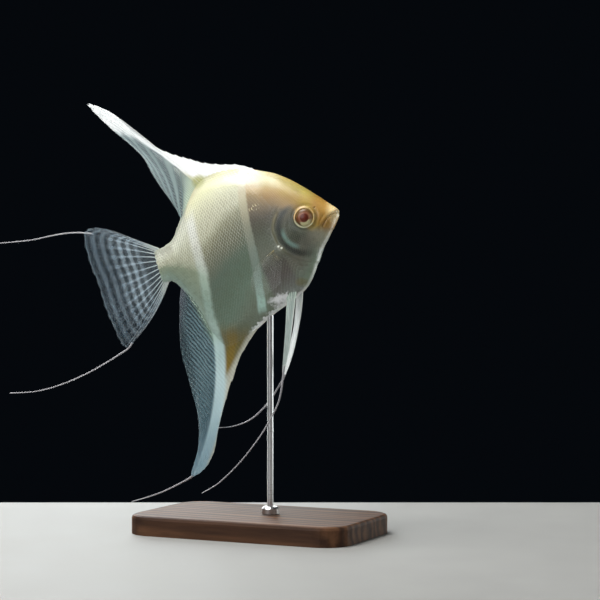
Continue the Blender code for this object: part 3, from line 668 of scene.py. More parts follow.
def ring_and_height(x, z):
    """The section and the height on it of side-view places, by Newton's method."""
    rings = np.linspace(0, LAST_SECTION, 400)
    table = mixed(BODY_SECTIONS, rings)
    ring = np.interp(x, 0.5 * (table[:, 0] + table[:, 2]), rings)
    height = np.full(np.shape(x), 0.5)

    def miss(ring, height):
        dx, dz, vx, vz = np.moveaxis(mixed(BODY_SECTIONS, ring)[..., :4], -1, 0)
        return vx + height * (dx - vx) - x, vz + height * (dz - vz) - z

    for _ in range(12):
        ex, ez = miss(ring, height)
        rx, rz = (b - a for a, b in zip((ex, ez), miss(ring + 1e-4, height)))
        hx, hz = (b - a for a, b in zip((ex, ez), miss(ring, height + 1e-4)))
        area = rx * hz - hx * rz
        area = np.where(np.abs(area) < 1e-14, 1e-14, area)
        ring = np.clip(ring - np.clip((ex * hz - hx * ez) / area * 1e-4, -1, 1), 0, LAST_SECTION)
        height = np.clip(height - np.clip((rx * ez - ex * rz) / area * 1e-4, -0.3, 0.3), 0.0, 1.0)
    return ring, height


def scale_rows(pitch, row, low_x, high_x):
    """Roots of scales in staggered rows that follow the body from end to end, as (ring, height, x, z)."""
    table = mixed(BODY_SECTIONS, np.linspace(0, LAST_SECTION, 600))
    found = []
    for i, x in enumerate(np.arange(low_x, high_x, 0.5 * pitch / STANDARD_LENGTH)):
        top = np.interp(x, table[:, 0], table[:, 1])
        bottom = np.interp(x, table[:, 2], table[:, 3])
        z = np.linspace(bottom + 0.001, top - 0.001, 240)
        ring, height = ring_and_height(np.full(z.shape, x), z)
        line = body_place(ring, height, np.ones(z.shape))
        steps = np.hypot(np.diff(line[:, 1]), np.diff(line[:, 2]))
        arc = np.concatenate([[0.0], np.cumsum(steps)])
        start = np.interp(ROWS_FROM, z, arc) + (i % 2) * row
        places = start + np.arange(-200, 200) * 2 * row
        places = places[(places > 0.0002) & (places < arc[-1] - 0.0002)]
        here = (np.interp(places, arc, values) for values in (ring, height, z))
        found += [(a, b, x, c) for a, b, c in zip(*here)]
    return np.array(found)


def scale_shape():
    """One plate a unit long, root to free edge along x: domed above, flat below, closed round its rim."""
    outline = [(0.0, 0.30), (0.30, 0.54), (0.62, 0.56), (0.86, 0.40), (1.0, 0.0)]
    rim = outline + [(a, -b) for a, b in outline[-2::-1]]
    inner = [(0.12, 0.16), (0.46, 0.26), (0.80, 0.0), (0.46, -0.26), (0.12, -0.16)]

    def raised(a, b, lift):
        return a, b, 0.004 + 0.038 * a + lift - 0.04 * b * b

    points = [raised(a, b, 0.0) for a, b in rim] + [raised(a, b, 0.020) for a, b in inner]
    points.append(raised(0.45, 0.0, 0.023))
    n = len(rim)
    joins = [
        (0, 0), (1, 0), (1, 1), (2, 1), (3, 1), (3, 2), (4, 2),
        (5, 2), (5, 3), (6, 3), (7, 3), (7, 4), (8, 4),
    ]
    faces = []
    for (a, b), (c, d) in zip(joins, joins[1:]):
        faces.append((a, c, n + b) if b == d else (a, n + d, n + b))
    faces += [(8, 0, n), (8, n, n + 4)]
    faces += [(n + k, n + (k + 1) % 5, n + 5) for k in range(5)]
    faces.append(tuple(range(n))[::-1])
    mesh = mesh_from("scale", points, faces)
    give(mesh, "plate", np.array([(a, b, 0.0) for a, b, _ in points]))
    crisp = [max(edge.vertices) < n for edge in mesh.edges]
    mesh.attributes.new("sharp_edge", "BOOLEAN", "EDGE").data.foreach_set("value", crisp)
    return mesh


class Steps(Nodes):
    """A Geometry Nodes tree with named inputs."""

    def __init__(self, name, inputs):
        super().__init__(bpy.data.node_groups.new(name, "GeometryNodeTree"))
        self.keys = {}
        for label, kind in {"Geometry": "NodeSocketGeometry", **inputs}.items():
            socket = self.tree.interface.new_socket(label, in_out="INPUT", socket_type=kind)
            self.keys[label] = socket.identifier
        self.tree.interface.new_socket("Geometry", in_out="OUTPUT", socket_type="NodeSocketGeometry")
        self.start = self.tree.nodes.new("NodeGroupInput")

    def given(self, label):
        return Term(self, self.start.outputs[label])

    def named(self, name, kind):
        return self.node("GeometryNodeInputNamedAttribute", {"data_type": kind}, {"Name": name})

    def end(self, geometry):
        out = self.tree.nodes.new("NodeGroupOutput")
        self.tree.links.new(geometry.socket, out.inputs[0])

    def run(self, mesh, values):
        """The plain mesh that the tree makes of a mesh, with values for its named inputs."""
        source = bpy.data.objects.new("source", mesh)
        bpy.context.scene.collection.objects.link(source)
        modifier = source.modifiers.new("steps", "NODES")
        modifier.node_group = self.tree
        for label, value in values.items():
            modifier[self.keys[label]] = value
        graph = bpy.context.evaluated_depsgraph_get()
        made = bpy.data.meshes.new_from_object(
            source.evaluated_get(graph), preserve_all_data_layers=True, depsgraph=graph
        )
        source.modifiers.clear()
        bpy.data.objects.remove(source)
        return made


plating = Steps(
    "scales on a skin",
    {"Scale": "NodeSocketObject", "Length": "NodeSocketFloat", "Finish": "NodeSocketMaterial"},
)
shape = plating.node("GeometryNodeObjectInfo", sockets={"Object": plating.given("Scale")}, out="Geometry")
turn = plating.node(
    "FunctionNodeAxesToRotation",
    {"primary_axis": "Z", "secondary_axis": "X"},
    {0: plating.named("outward", "FLOAT_VECTOR"), 1: plating.named("lie", "FLOAT_VECTOR")},
)
size = plating.named("size", "FLOAT") * plating.given("Length")
laid = plating.node(
    "GeometryNodeInstanceOnPoints",
    sockets={"Points": plating.given("Geometry"), "Instance": shape, "Rotation": turn, "Scale": size},
)
laid = plating.node("GeometryNodeRealizeInstances", sockets={0: laid})
painted_plates = {"Geometry": laid, "Material": plating.given("Finish")}
plating.end(plating.node("GeometryNodeSetMaterial", sockets=painted_plates))

pattern = bpy.data.objects.new("scale_pattern", scale_shape())
bpy.context.scene.collection.objects.link(pattern)
horn = Finish("painted_scales", flesh | {"Coat Weight": 0.20})
painted, local, x, z, fleck = hide_colour(horn, horn.attribute("height"))
plate = horn.attribute("plate", "Vector")
back, across = horn.axis(plate, "X"), horn.axis(plate, "Y")
from_heart = (((back - 0.40) / 0.60) * ((back - 0.40) / 0.60) + (across / 0.54) * (across / 0.54)) ** 0.5
rim = horn.fade(from_heart, 0.62, 0.97)
chance = horn.attribute("chance")
level = horn.attribute("height")
rows_show = horn.fade(level, 0.40, 0.58) * horn.fade(level, 0.95, 0.80) * horn.fade(x, 0.57, 0.50)
heart = horn.mix(0.48 * rows_show * horn.fade(from_heart, 0.9, 0.45), painted, tone(104, 94, 66))
edged = horn.mix(rim * (0.07 + 0.40 * rows_show), heart, tone(246, 244, 226))
# Painted glints: near-white rims on some scales high on the flank behind the head.
painted_glint = rim * horn.fade(chance, 0.30, 0.50) * blob(horn, x, z, (0.614, 0.091), (0.050, 0.020))
horn.feed("Base Color", horn.mix(painted_glint, horn.mix(0.30 * chance, edged, painted), tone(246, 232, 186)))
horn.feed("Roughness", 0.40 + 0.16 * fleck + 0.10 * chance)
growth = (from_heart * 46.0).sine()
horn.relief(0.25 * growth + 0.75 * fleck, 0.25, 0.00005)


def scale_sheet(name, roots, sizes, side, length, node_slot):
    """Lays scales on one side of the fish and joins them as one piece."""
    sides = np.full(len(roots), float(side))
    ring, height = roots[:, 0], roots[:, 1]
    place, outward = skin_place(ring, height, sides)
    ahead, behind = np.minimum(ring + 0.2, LAST_SECTION), np.maximum(ring - 0.2, 0.0)
    along = body_place(ahead, height, sides) - body_place(behind, height, sides)
    above, below = np.minimum(height + 0.03, 1.0), np.maximum(height - 0.03, 0.0)
    level = crossed(along, body_place(ring, above, sides) - body_place(ring, below, sides), sides)
    even = np.sum(level * outward, axis=1) > 0.965  # no scale stands on the side of a fold
    ring, height, x, z = roots[even].T
    place, outward, sizes, sides = place[even], level[even] + outward[even], sizes[even], sides[even]
    outward /= np.linalg.norm(outward, axis=1, keepdims=True)
    lie = skin_place(*ring_and_height(x - 0.004, z), sides)[0] - place
    lie -= outward * np.sum(lie * outward, axis=1, keepdims=True)
    lie /= np.maximum(np.linalg.norm(lie, axis=1, keepdims=True), 1e-9)
    chance = np.random.default_rng(7 if side > 0 else 11)
    stray = np.cross(outward, lie) * chance.normal(0.0, 0.035, (len(ring), 1))
    turned = placed(outward) - placed(np.zeros(3)), placed(lie + stray) - placed(np.zeros(3))
    mesh = bpy.data.meshes.new(name)
    mesh.from_pydata(placed(place + outward * 0.00001).tolist(), [], [])
    give(mesh, "outward", turned[0])
    give(mesh, "lie", turned[1])
    give(mesh, "size", sizes * chance.uniform(0.95, 1.05, len(ring)))
    give(mesh, "height", height)
    give(mesh, "chance", chance.uniform(0.0, 1.0, len(ring)))
    spot = np.stack([0.03 + 0.94 * ring / LAST_SECTION, 0.03 + 0.94 * height, 0 * ring], axis=1)
    give(mesh, "spot", spot)
    made = plating.run(mesh, {"Scale": pattern, "Length": length, "Finish": horn.material})
    made.name = name
    vectors = {}
    for key in ("plate", "spot"):
        values = np.empty(3 * len(made.vertices))
        made.attributes[key].data.foreach_get("vector", values)
        vectors[key] = values.reshape(-1, 3)
    corners = np.empty(len(made.loops), int)
    made.loops.foreach_get("vertex_index", corners)
    flat = vectors["spot"][:, :2] + (vectors["plate"][:, :2] - (0.5, 0.0)) * PATCH
    made.uv_layers.new(name="OFBake").data.foreach_set("uv", flat[corners].ravel())
    for key in ("outward", "lie", "size", "spot"):
        made.attributes.remove(made.attributes[key])
    return new_piece(name, made, node_slot)


rows = scale_rows(SCALE_PITCH, SCALE_ROW, -0.020, 0.76)
ring, height, x, z = rows.T
tall, _ = beside(x, z, COVER_EDGE)
nape_gap = 0.750 - x - 0.55 * z
on_flank = (tall < -0.010) & ((z < 0.03) | (nape_gap > 0.0)) & (height > 0.012) & (height < 0.988)
edge = np.minimum(smooth(height, 0.0, 0.09), smooth(height, 1.0, 0.91))
edge = edge * smooth(-tall, 0.000, 0.045) * (0.4 + 0.6 * smooth(x, -0.02, 0.10))
flank_rows, flank_sizes = rows[on_flank], (0.55 + 0.45 * edge)[on_flank]
rows = scale_rows(HEAD_SCALE_PITCH, HEAD_SCALE_ROW, 0.56, 0.93)
ring, height, x, z = rows.T
tall, _ = beside(x, z, COVER_EDGE)
eye_gap = np.hypot(x - EYE_STATION[0], z - EYE_STATION[1]) * STANDARD_LENGTH
front_gap = 0.725 + 0.25 * smooth(x, 0.86, 0.72) - z - 0.8 * x
on_cover = (tall > 0.014) & (z < 0.04) & (z > -0.235) & (front_gap > 0)
on_nape = (x + 0.55 * z >= 0.748) & (z >= 0.03) & (x < 0.86)
on_head = (on_cover | on_nape) & (eye_gap > 0.0052) & (x < 0.90) & (height < 0.985)
edge = smooth(eye_gap, 0.0048, 0.0080) * smooth(height, 1.0, 0.93) * smooth(x, 0.90, 0.76)
edge = edge * np.where(z >= 0.03, 1.0, smooth(tall, 0.0, 0.045) * smooth(front_gap, 0.0, 0.06))
head_rows, head_sizes = rows[on_head], (0.40 + 0.60 * edge)[on_head]
for side, word in ((1, "left"), (-1, "right")):
    scale_sheet(f"flank_scales_{word}", flank_rows, flank_sizes, side, 0.00225, "skin")
    scale_sheet(f"head_scales_{word}", head_rows, head_sizes, side, 0.00142, "forehead")
bpy.data.objects.remove(pattern)

# ---- eyes -----------------------------------------------------------------------------------------------
# A turned resin ball, painted on its face and glossed: the red pupil of an albino bulges a little out of
# a ringed iris, and the ball sits in a socket of the hide whose pale rim holds it.
EYE_SUNK = 0.0016
# Distance from the axis and height along it, in millimetres, front to back.
EYE_PROFILE = [
    (0.00, 2.74), (0.55, 2.72), (1.10, 2.64), (1.48, 2.54), (1.68, 2.44), (1.86, 2.38), (2.20, 2.31),
    (2.60, 2.18), (2.95, 2.00), (3.25, 1.78), (3.52, 1.48), (3.78, 1.02), (3.98, 0.40), (3.92, -0.30),
    (3.45, -1.25), (2.50, -1.95), (1.25, -2.30), (0.00, -2.40),
]
EYE_SEGMENTS = 80


def eye_mesh(side):
    """The profile turned round the way the skin faces at the eye."""
    ring, height = ring_and_height(*(np.array([v]) for v in EYE_STATION))
    sides = np.array([float(side)])
    here = body_place(ring, height, sides)[0]
    along = body_place(ring + 0.05, height, sides)[0] - body_place(ring - 0.05, height, sides)[0]
    up = body_place(ring, height + 0.05, sides)[0] - body_place(ring, height - 0.05, sides)[0]
    outward = crossed(along, up, sides[0])
    ahead = np.cross(outward, np.cross([1.0, 0.0, 0.0], outward))
    ahead /= np.linalg.norm(ahead)
    upward = np.cross(outward, ahead) * -side
    profile = mixed(EYE_PROFILE, np.linspace(0, len(EYE_PROFILE) - 1, 60))[1:-1] / 1000
    angles = np.arange(EYE_SEGMENTS) * 2 * math.pi / EYE_SEGMENTS
    turns = (np.cos(angles), np.sin(angles))
    flat = np.stack([np.outer(profile[:, 0], turn) for turn in turns], axis=-1)
    level = np.broadcast_to(profile[:, 1, None], flat.shape[:2])
    flat = np.concatenate([flat.reshape(-1, 2), [(0.0, 0.0), (0.0, 0.0)]])
    level = np.concatenate([level.ravel(), [EYE_PROFILE[0][1] / 1000, EYE_PROFILE[-1][1] / 1000]])
    centre = here - outward * EYE_SUNK
    points = centre + flat[:, :1] * ahead + flat[:, 1:] * upward + level[:, None] * outward
    mesh = mesh_from("eye", placed(points), ring_faces(len(profile), EYE_SEGMENTS))
    give(mesh, "disc", np.concatenate([flat * 1000, level[:, None] * 1000], axis=1))
    return mesh


glass = Finish("resin_eye", {"Roughness": 0.40, "IOR": 1.30, "Coat Weight": 0.16, "Coat Roughness": 0.07})
disc = glass.attribute("disc", "Vector")
ahead, up = glass.axis(disc, "X"), glass.axis(disc, "Y")
out = (ahead * ahead + up * up) ** 0.5
to_pupil = ((ahead - 0.22) * (ahead - 0.22) + (up + 0.22) * (up + 0.22)) ** 0.5
fibre = glass.noise(glass.stretched(disc, (1.6, 1.6, 1.0)), 1.4, 5.0, 0.7)
iris = glazes(
    glass, (to_pupil + 0.30 * (fibre - 0.5)) / 4.2,
    (0.00, 94, 32, 16), (0.38, 82, 32, 16), (0.44, 116, 68, 50), (0.54, 130, 84, 60),
    (0.64, 104, 68, 42), (0.74, 88, 60, 28), (0.86, 104, 76, 40),
)
# A pale crescent low on the iris: a painted reflection.
lower = glass.fade(up, -1.1, -2.0) * glass.fade(out, 1.9, 2.4) * glass.fade(ahead, -2.6, -1.4)
iris = glass.mix(0.90 * lower, iris, tone(186, 182, 138))
ahead_edge = glass.fade(ahead, 1.6, 2.6) * glass.fade(up, 1.2, 0.0)
iris = glass.mix(0.55 * ahead_edge, iris, tone(142, 112, 82))
rear_edge = glass.fade(ahead, -1.7, -2.5) * glass.fade(abs(up), 1.6, 0.4)
iris = glass.mix(0.60 * rear_edge, iris, tone(98, 48, 26))
rim = glass.fade(out, 3.45, 3.85)
glass.feed("Base Color", glass.mix(0.7 * rim, iris, tone(176, 150, 104)))
for side, word in ((1, "left"), (-1, "right")):
    mesh = eye_mesh(side)
    mesh.materials.append(glass.material)
    new_piece(f"eye_{word}", mesh, "eye", f"eye_{word}")


# ---- dorsal fin -----------------------------------------------------------------------------------------
# A sail of thin film between cast rays: thirteen stiff spines of growing length along the front, whose
# tips stand free, and soft branched rays behind them. It is set in a slot along the back.
DORSAL_RAYS = [
    ((0.655, 0.250), (0.640, 0.276), (0.621, 0.303)),
    ((0.590, 0.285), (0.570, 0.315), (0.545, 0.350)),
    ((0.520, 0.305), (0.490, 0.340), (0.453, 0.385)),
    ((0.460, 0.315), (0.410, 0.368), (0.359, 0.430)),
    ((0.410, 0.320), (0.350, 0.400), (0.295, 0.474)),
    ((0.370, 0.320), (0.295, 0.428), (0.225, 0.521)),
    ((0.340, 0.318), (0.240, 0.468), (0.137, 0.594)),
    ((0.325, 0.314), (0.180, 0.540), (0.036, 0.716)),
    ((0.315, 0.310), (0.130, 0.620), (-0.056, 0.852)),
    ((0.305, 0.305), (0.095, 0.645), (-0.178, 0.946)),
    ((0.290, 0.295), (0.095, 0.600), (-0.088, 0.780)),
    ((0.270, 0.280), (0.110, 0.520), (0.000, 0.654)),
    ((0.245, 0.258), (0.130, 0.430), (0.054, 0.560)),
    ((0.215, 0.225), (0.150, 0.345), (0.077, 0.465)),
    ((0.188, 0.190), (0.155, 0.270), (0.110, 0.362)),
    ((0.165, 0.160), (0.160, 0.200), (0.162, 0.232)),
]


def fan(rays, lean, ripple):
    """The middle sheet of a fin, as a function of the share across its rays and the share along them."""
    rows = [base + bend + tip for base, bend, tip in rays]

    def sheet(across, along):
        row = mixed(rows, across * (len(rows) - 1))
        t = along[..., None]
        base, bend, tip = row[..., 0:2], row[..., 2:4], row[..., 4:6]
        place = base * (1 - t) ** 2 + 2 * bend * t * (1 - t) + tip * t * t
        x, z = place[..., 0], place[..., 1]
        return swayed(x, lean(x, z) + ripple(across, along), z)

    return sheet


def facing(sheet, across, along):
    """Unit vectors square to a fin's sheet."""
    step = 0.004
    over = sheet(np.minimum(across + step, 1), along) - sheet(np.maximum(across - step, 0), along)
    down = sheet(across, np.minimum(along + step, 1)) - sheet(across, np.maximum(along - step, 0))
    out = np.cross(over, down)
    return out / np.maximum(np.linalg.norm(out, axis=-1, keepdims=True), 1e-15)


def web_mesh(name, sheet, marks, per_gap, rows, reach, root, edge):
    """A closed film between rays at the marks, whose outer edge stops at reach(across, share of gap)."""
    gaps = [np.linspace(a, b, per_gap, endpoint=False) for a, b in zip(marks, marks[1:])]
    across = np.concatenate(gaps + [[marks[-1]]])
    gap = np.concatenate([np.tile(np.arange(per_gap) / per_gap, len(gaps)), [0.0]])
    bare = np.sin(math.pi * gap)
    along = np.linspace(0, 1, rows) ** 0.92
    grid_across, grid_along = np.meshgrid(across, along, indexing="ij")
    grid_bare = np.broadcast_to(bare[:, None], grid_across.shape)
    grid_along = grid_along * reach(across, bare)[:, None]
    middle = sheet(grid_across, grid_along)
    half = (root + (edge - root) * grid_along) * (1 - 0.45 * grid_bare)
    half = half[..., None] * facing(sheet, grid_across, grid_along)
    columns = len(across)
    points = np.concatenate([(middle + half).reshape(-1, 3), (middle - half).reshape(-1, 3)])
    back = columns * rows
    faces = []
    for c in range(columns - 1):
        for r in range(rows - 1):
            a = c * rows + r
            b = a + back
            faces += [(a, a + 1, a + rows + 1, a + rows), (b, b + rows, b + rows + 1, b + 1)]
    border = list(range(rows)) + [c * rows + rows - 1 for c in range(1, columns)]
    border += [(columns - 1) * rows + r for r in range(rows - 2, -1, -1)]
    border += [c * rows for c in range(columns - 2, 0, -1)]
    faces += [(a, b, b + back, a + back) for a, b in zip(border, border[1:] + border[:1])]
    mesh = mesh_from(name, placed(points), faces)
    for key, values in (("across", grid_across), ("along", grid_along), ("bare", grid_bare)):
        give(mesh, key, np.tile(values.ravel(), 2))
    return mesh


def web_piece(name, node, film, *shape, **thickness):
    """The film between a fin's rays, which stands for the fin's CAD node."""
    mesh = web_mesh(name, *shape, **thickness)
    mesh.materials.append(film.material)
    new_piece(name, mesh, "fin", node)


def soft_ray(mark, gap, root, tip, reach=1.0):
    """A soft ray as lines of (across, along, radius): a stem that parts in two and again in four."""
    lines = [(np.full(14, mark), np.linspace(0, 0.46, 14), np.linspace(root, 0.62 * root, 14))]
    for first in (-1, 1):
        along = np.linspace(0.44, 0.76, 12)
        spread = 0.15 * gap * first * smooth(along, 0.42, 0.78)
        lines.append((mark + spread, along, np.linspace(0.50 * root, 0.36 * root, 12)))
        for second in (-1, 1):
            along = np.linspace(0.74, reach, 10)
            spread = 0.15 * first * smooth(along, 0.42, 0.78) + 0.10 * second * smooth(along, 0.72, 1.05)
            spread = gap * spread
            lines.append((mark + spread, along, np.linspace(0.32 * root, tip, 10)))
    return lines


def spine(mark, root, tip, reach):
    """A spine that runs a little past the film to a free point."""
    steps = 22
    radius = root + (tip - root) * np.linspace(0, 1, steps) ** 0.8
    return [(np.full(steps, mark), np.linspace(0, reach, steps), radius)]


def spiny_lines(spines, spine_root, spine_tip, soft, soft_root):
    """The rays of a fin that has spines in front and soft rays behind them."""
    lines = []
    for mark in spines:
        lines += spine(mark, spine_root, spine_tip, 1.0)
    for mark in soft:
        lines += soft_ray(mark, soft[1] - soft[0], soft_root, 0.00004)
    return lines


def lines_mesh(name, sheet, lines, free=()):
    """Rays of a fin as edges that carry their radius; free are extra lines of (points, radius)."""
    points, edges, radius, share, span = [], [], [], [], []
    for across, along, thick in lines:
        start = len(points)
        inside = np.clip(across, 0, 1)
        points += list(sheet(inside, along))
        edges += [(start + k, start + k + 1) for k in range(len(along) - 1)]
        radius += list(thick)
        share += list(along)
        span += list(inside)
    for places, thick in free:
        start = len(points)
        points += list(places)
        edges += [(start + k, start + k + 1) for k in range(len(places) - 1)]
        radius += list(thick)
        share += list(1.0 + np.linspace(0, 1, len(places)))
        span += [0.5] * len(places)
    mesh = bpy.data.meshes.new(name)
    mesh.from_pydata(placed(np.array(points)).tolist(), edges, [])
    for key, values in (("thickness", radius), ("along", share), ("across", span)):
        give(mesh, key, values)
    return mesh


tubes = Steps(
    "rays along lines",
    {"Sides": "NodeSocketInt", "Thickness": "NodeSocketFloat", "Finish": "NodeSocketMaterial"},
)
curves = tubes.node("GeometryNodeMeshToCurve", sockets={"Mesh": tubes.given("Geometry")})
ring = tubes.node("GeometryNodeCurvePrimitiveCircle", sockets={"Resolution": tubes.given("Sides"), 4: 1.0})
width = tubes.named("thickness", "FLOAT") * tubes.given("Thickness")
swept = tubes.node(
    "GeometryNodeCurveToMesh",
    sockets={"Curve": curves, "Profile Curve": ring, "Scale": width, "Fill Caps": True},
)
swept = tubes.node("GeometryNodeRealizeInstances", sockets={0: swept})
painted_tubes = {"Geometry": swept, "Material": tubes.given("Finish")}
tubes.end(tubes.node("GeometryNodeSetMaterial", sockets=painted_tubes))


def rays_piece(name, sheet, lines, finish, slot, nodes=(), free=(), sides=6):
    mesh = lines_mesh(name, sheet, lines, free)
    made = tubes.run(mesh, {"Sides": sides, "Thickness": 1.0, "Finish": finish.material})
    made.name = name
    made.attributes.remove(made.attributes["thickness"])
    shape = bmesh.new()
    shape.from_mesh(made)
    bmesh.ops.recalc_face_normals(shape, faces=shape.faces)
    shape.to_mesh(made)
    shape.free()
    made.shade_smooth()
    return new_piece(name, made, slot, *nodes)


def free_line(places, root, tip, steps=60):
    """A long free ray through places in standard lengths, thinning to its tip."""
    share = np.linspace(0, 1, steps)
    x, y, z = mixed(places, share * (len(places) - 1)).T
    return swayed(x, y, z), root + (tip - root) * share


FLESH_GLOW = {"Subsurface Weight": 0.55, "Subsurface Scale": 0.0006, "Subsurface Radius": (1.0, 1.0, 1.0)}


def film(name, colour, alpha, grain=0.35, sheen=0.15):
    """The clear coat and fine pleats that all fin films share."""
    constants = {"IOR": 1.36, "Coat Weight": sheen, "Coat Roughness": 0.25, "Specular IOR Level": 0.25}
    finish = Finish(name, constants | FLESH_GLOW)
    local, x, z = side_view(finish)
    along, across, bare = (finish.attribute(key) for key in ("along", "across", "bare"))
    cloud = finish.noise(local, 16.0, 4.0, 0.6)
    drawn_out = finish.node("ShaderNodeCombineXYZ", sockets={0: across * 240.0, 1: along * 6.0})
    thread = finish.noise(drawn_out, 1.0, 3.0, 0.6)
    parts = {"x": x, "z": z, "along": along, "across": across, "bare": bare, "cloud": cloud, "thread": thread}
    finish.feed("Base Color", colour(finish, **parts))
    finish.feed("Alpha", alpha(finish, **parts))
    finish.feed("Roughness", 0.42 + 0.22 * cloud)
    finish.relief(thread + 0.4 * bare, grain, 0.00005)
    return finish


def dorsal_front(f, across, along, cloud):
    """1 over the milky leading half, which reaches back to the whole tip of the sail."""
    return f.fade(across - 0.15 * along + 0.02 * cloud, 0.57, 0.52)


def dorsal_arcs(f, along, cloud):
    return f.fade(((along + 0.05 * cloud - 0.06) * 31.0).sine(), -0.6, 1.0)


def dorsal_streaks(f, across, along, thread):
    """Grey lengthwise streaks behind the white leading edge of the tall tip."""
    return f.fade(across, 0.50, 0.56) * f.fade(along, 0.30, 0.55) * f.fade(thread, 0.62, 0.36)


def dorsal_colour(f, x, z, along, across, bare, cloud, thread):
    rear = f.mix(dorsal_arcs(f, along, cloud), tone(112, 134, 140), tone(160, 178, 178))
    tint = f.mix(dorsal_front(f, across, along, cloud), rear, tone(255, 255, 252))
    tint = f.mix(0.65 * dorsal_streaks(f, across, along, thread), tint, tone(150, 164, 166))
    margin = f.fade(along, 0.84, 1.0) * f.fade(across, 0.46, 0.36)
    tint = f.mix(0.7 * margin, tint, tone(206, 210, 224))
    tint = f.mix(f.fade(along, 0.24, 0.06) * f.fade(across, 0.62, 0.50), tint, tone(206, 206, 168))
    tint = f.mix(f.fade(along, 0.20, 0.02) * f.fade(across, 0.50, 0.62), tint, tone(190, 202, 182))
    return f.mix(olive_spot(f, x, z) * 0.85, tint, tone(180, 180, 126))


def dorsal_alpha(f, x, z, along, across, bare, cloud, thread):
    front = dorsal_front(f, across, along, cloud)
    edge = 0.5 * f.fade(across, 0.94, 1.0)
    rear = 0.30 + 0.14 * thread + 0.16 * dorsal_arcs(f, along, cloud) + 0.5 * f.fade(along, 0.20, 0.02) + edge
    margin = f.fade(along, 0.84, 1.0) * f.fade(across, 0.46, 0.36)
    milky = 0.88 - 0.34 * margin * bare - 0.28 * dorsal_streaks(f, across, along, thread)
    return (rear + front * milky).least(0.97)


def dorsal_lean(x, z):
    return 0.03 * np.maximum(0.0, z - 0.35) ** 2


def dorsal_ripple(across, along):
    return 0.0050 * along * np.sin(across * 19.0 + along * 1.5) * smooth(across, 0.55, 0.8)


def spiny_reach(share, notch, fringe):
    """Where a fin's film ends: in scallops between the spines, and in a fine fringe behind them."""
    def reach(across, bare):
        ragged = 0.5 + 0.5 * np.sin(across * 371.0)
        return np.where(across < share, 1 - notch * bare**0.7, 1 - fringe * bare * (0.6 + 0.8 * ragged))

    return reach


DORSAL_SPINES, DORSAL_SOFT, DORSAL_SPINY_SHARE = 13, 27, 0.44
spines = np.linspace(0.0, DORSAL_SPINY_SHARE, DORSAL_SPINES)
soft = np.linspace(DORSAL_SPINY_SHARE, 1.0, DORSAL_SOFT + 1)[1:]
sheet = fan(DORSAL_RAYS, dorsal_lean, dorsal_ripple)
web = film("dorsal_film", dorsal_colour, dorsal_alpha)
marks = np.concatenate([spines, soft])
reach = spiny_reach(DORSAL_SPINY_SHARE, notch=0.075, fringe=0.014)
web_piece("dorsal_web", "dorsal_fin", web, sheet, marks, 5, 56, reach, root=0.00030, edge=0.00006)


FREE_THREAD = tone(170, 168, 172)


def ray_finish(name, root, outer, clear, clear_from=0.15, clear_to=0.90, faint_from=1.0, free=0.20):
    """Cast rays, clearer towards the edge and beyond a share across; free tells how clear loose ends are."""
    finish = Finish(name, {"IOR": 1.38, "Coat Weight": 0.1, "Coat Roughness": 0.3} | FLESH_GLOW)
    along, across = finish.attribute("along"), finish.attribute("across")
    joint = (along * 160.0).sine()
    faint = 0.6 * finish.fade(across, faint_from, faint_from + 0.06)
    loose = finish.fade(along, 1.00, 1.04)
    colour = finish.mix(finish.fade(along, 0.05, 0.55), root, outer)
    finish.feed("Base Color", finish.mix(loose, colour, FREE_THREAD))
    thins = (clear * finish.fade(along, clear_from, clear_to)).most(faint)
    finish.feed("Alpha", 1.0 - thins * (1.0 - loose) - free * loose)
    finish.feed("Roughness", 0.42 + 0.08 * joint)
    finish.relief(joint, 0.1, 0.00001)
    return finish


white_ray = ray_finish("dorsal_rays", tone(244, 245, 230), tone(226, 232, 234), 0.45, faint_from=0.62)
lines = spiny_lines(spines, 0.00030, 0.00005, soft, 0.00020)
rays_piece("dorsal_rays", sheet, lines, white_ray, "fin")

# ---- anal fin -------------------------------------------------------------------------------------------
# The dorsal fin's mirror under the belly: six stout spines, then soft rays that draw out to a long point
# and on into one free thread. The second pale band and the orange of the belly run down into it.
ANAL_RAYS = [
    ((0.450, -0.438), (0.430, -0.453), (0.405, -0.470)),
    ((0.400, -0.460), (0.365, -0.490), (0.330, -0.524)),
    ((0.345, -0.470), (0.300, -0.530), (0.252, -0.594)),
    ((0.300, -0.475), (0.240, -0.590), (0.180, -0.690)),
    ((0.262, -0.470), (0.185, -0.630), (0.104, -0.786)),
    ((0.235, -0.462), (0.130, -0.710), (0.040, -0.888)),
    ((0.212, -0.450), (0.080, -0.800), (-0.018, -0.992)),
    ((0.201, -0.438), (0.050, -0.860), (-0.092, -1.058)),
    ((0.190, -0.425), (0.020, -0.880), (-0.172, -1.068)),
    ((0.170, -0.385), (0.005, -0.740), (-0.100, -0.952)),
    ((0.150, -0.325), (-0.005, -0.600), (-0.052, -0.800)),
    ((0.128, -0.250), (-0.005, -0.450), (-0.043, -0.625)),
    ((0.100, -0.170), (0.000, -0.310), (-0.036, -0.432)),
    ((0.072, -0.118), (0.035, -0.180), (0.018, -0.240)),
]
ANAL_STREAMER = [
    (-0.150, 0.0, -1.062), (-0.182, 0.0, -1.074), (-0.210, 0.0, -1.080), (-0.250, 0.0, -1.087),
    (-0.340, 0.0, -1.100), (-0.430, 0.0, -1.104), (-0.532, 0.0, -1.102),
]


def anal_lean(x, z):
    return -0.03 * np.maximum(0.0, -0.5 - z) ** 2


def anal_ripple(across, along):
    return 0.0055 * along * np.sin(across * 17.0 + along * 2.0) * smooth(across, 0.40, 0.75)


def anal_bars(f, x, z, cloud):
    """Fine pale bars over the rear web, side by side with the belly."""
    return f.fade((172.0 * (z + 2.0 * x) + 9.0 * cloud).sine(), -0.5, 0.9) * f.fade(z, -0.86, -0.55)


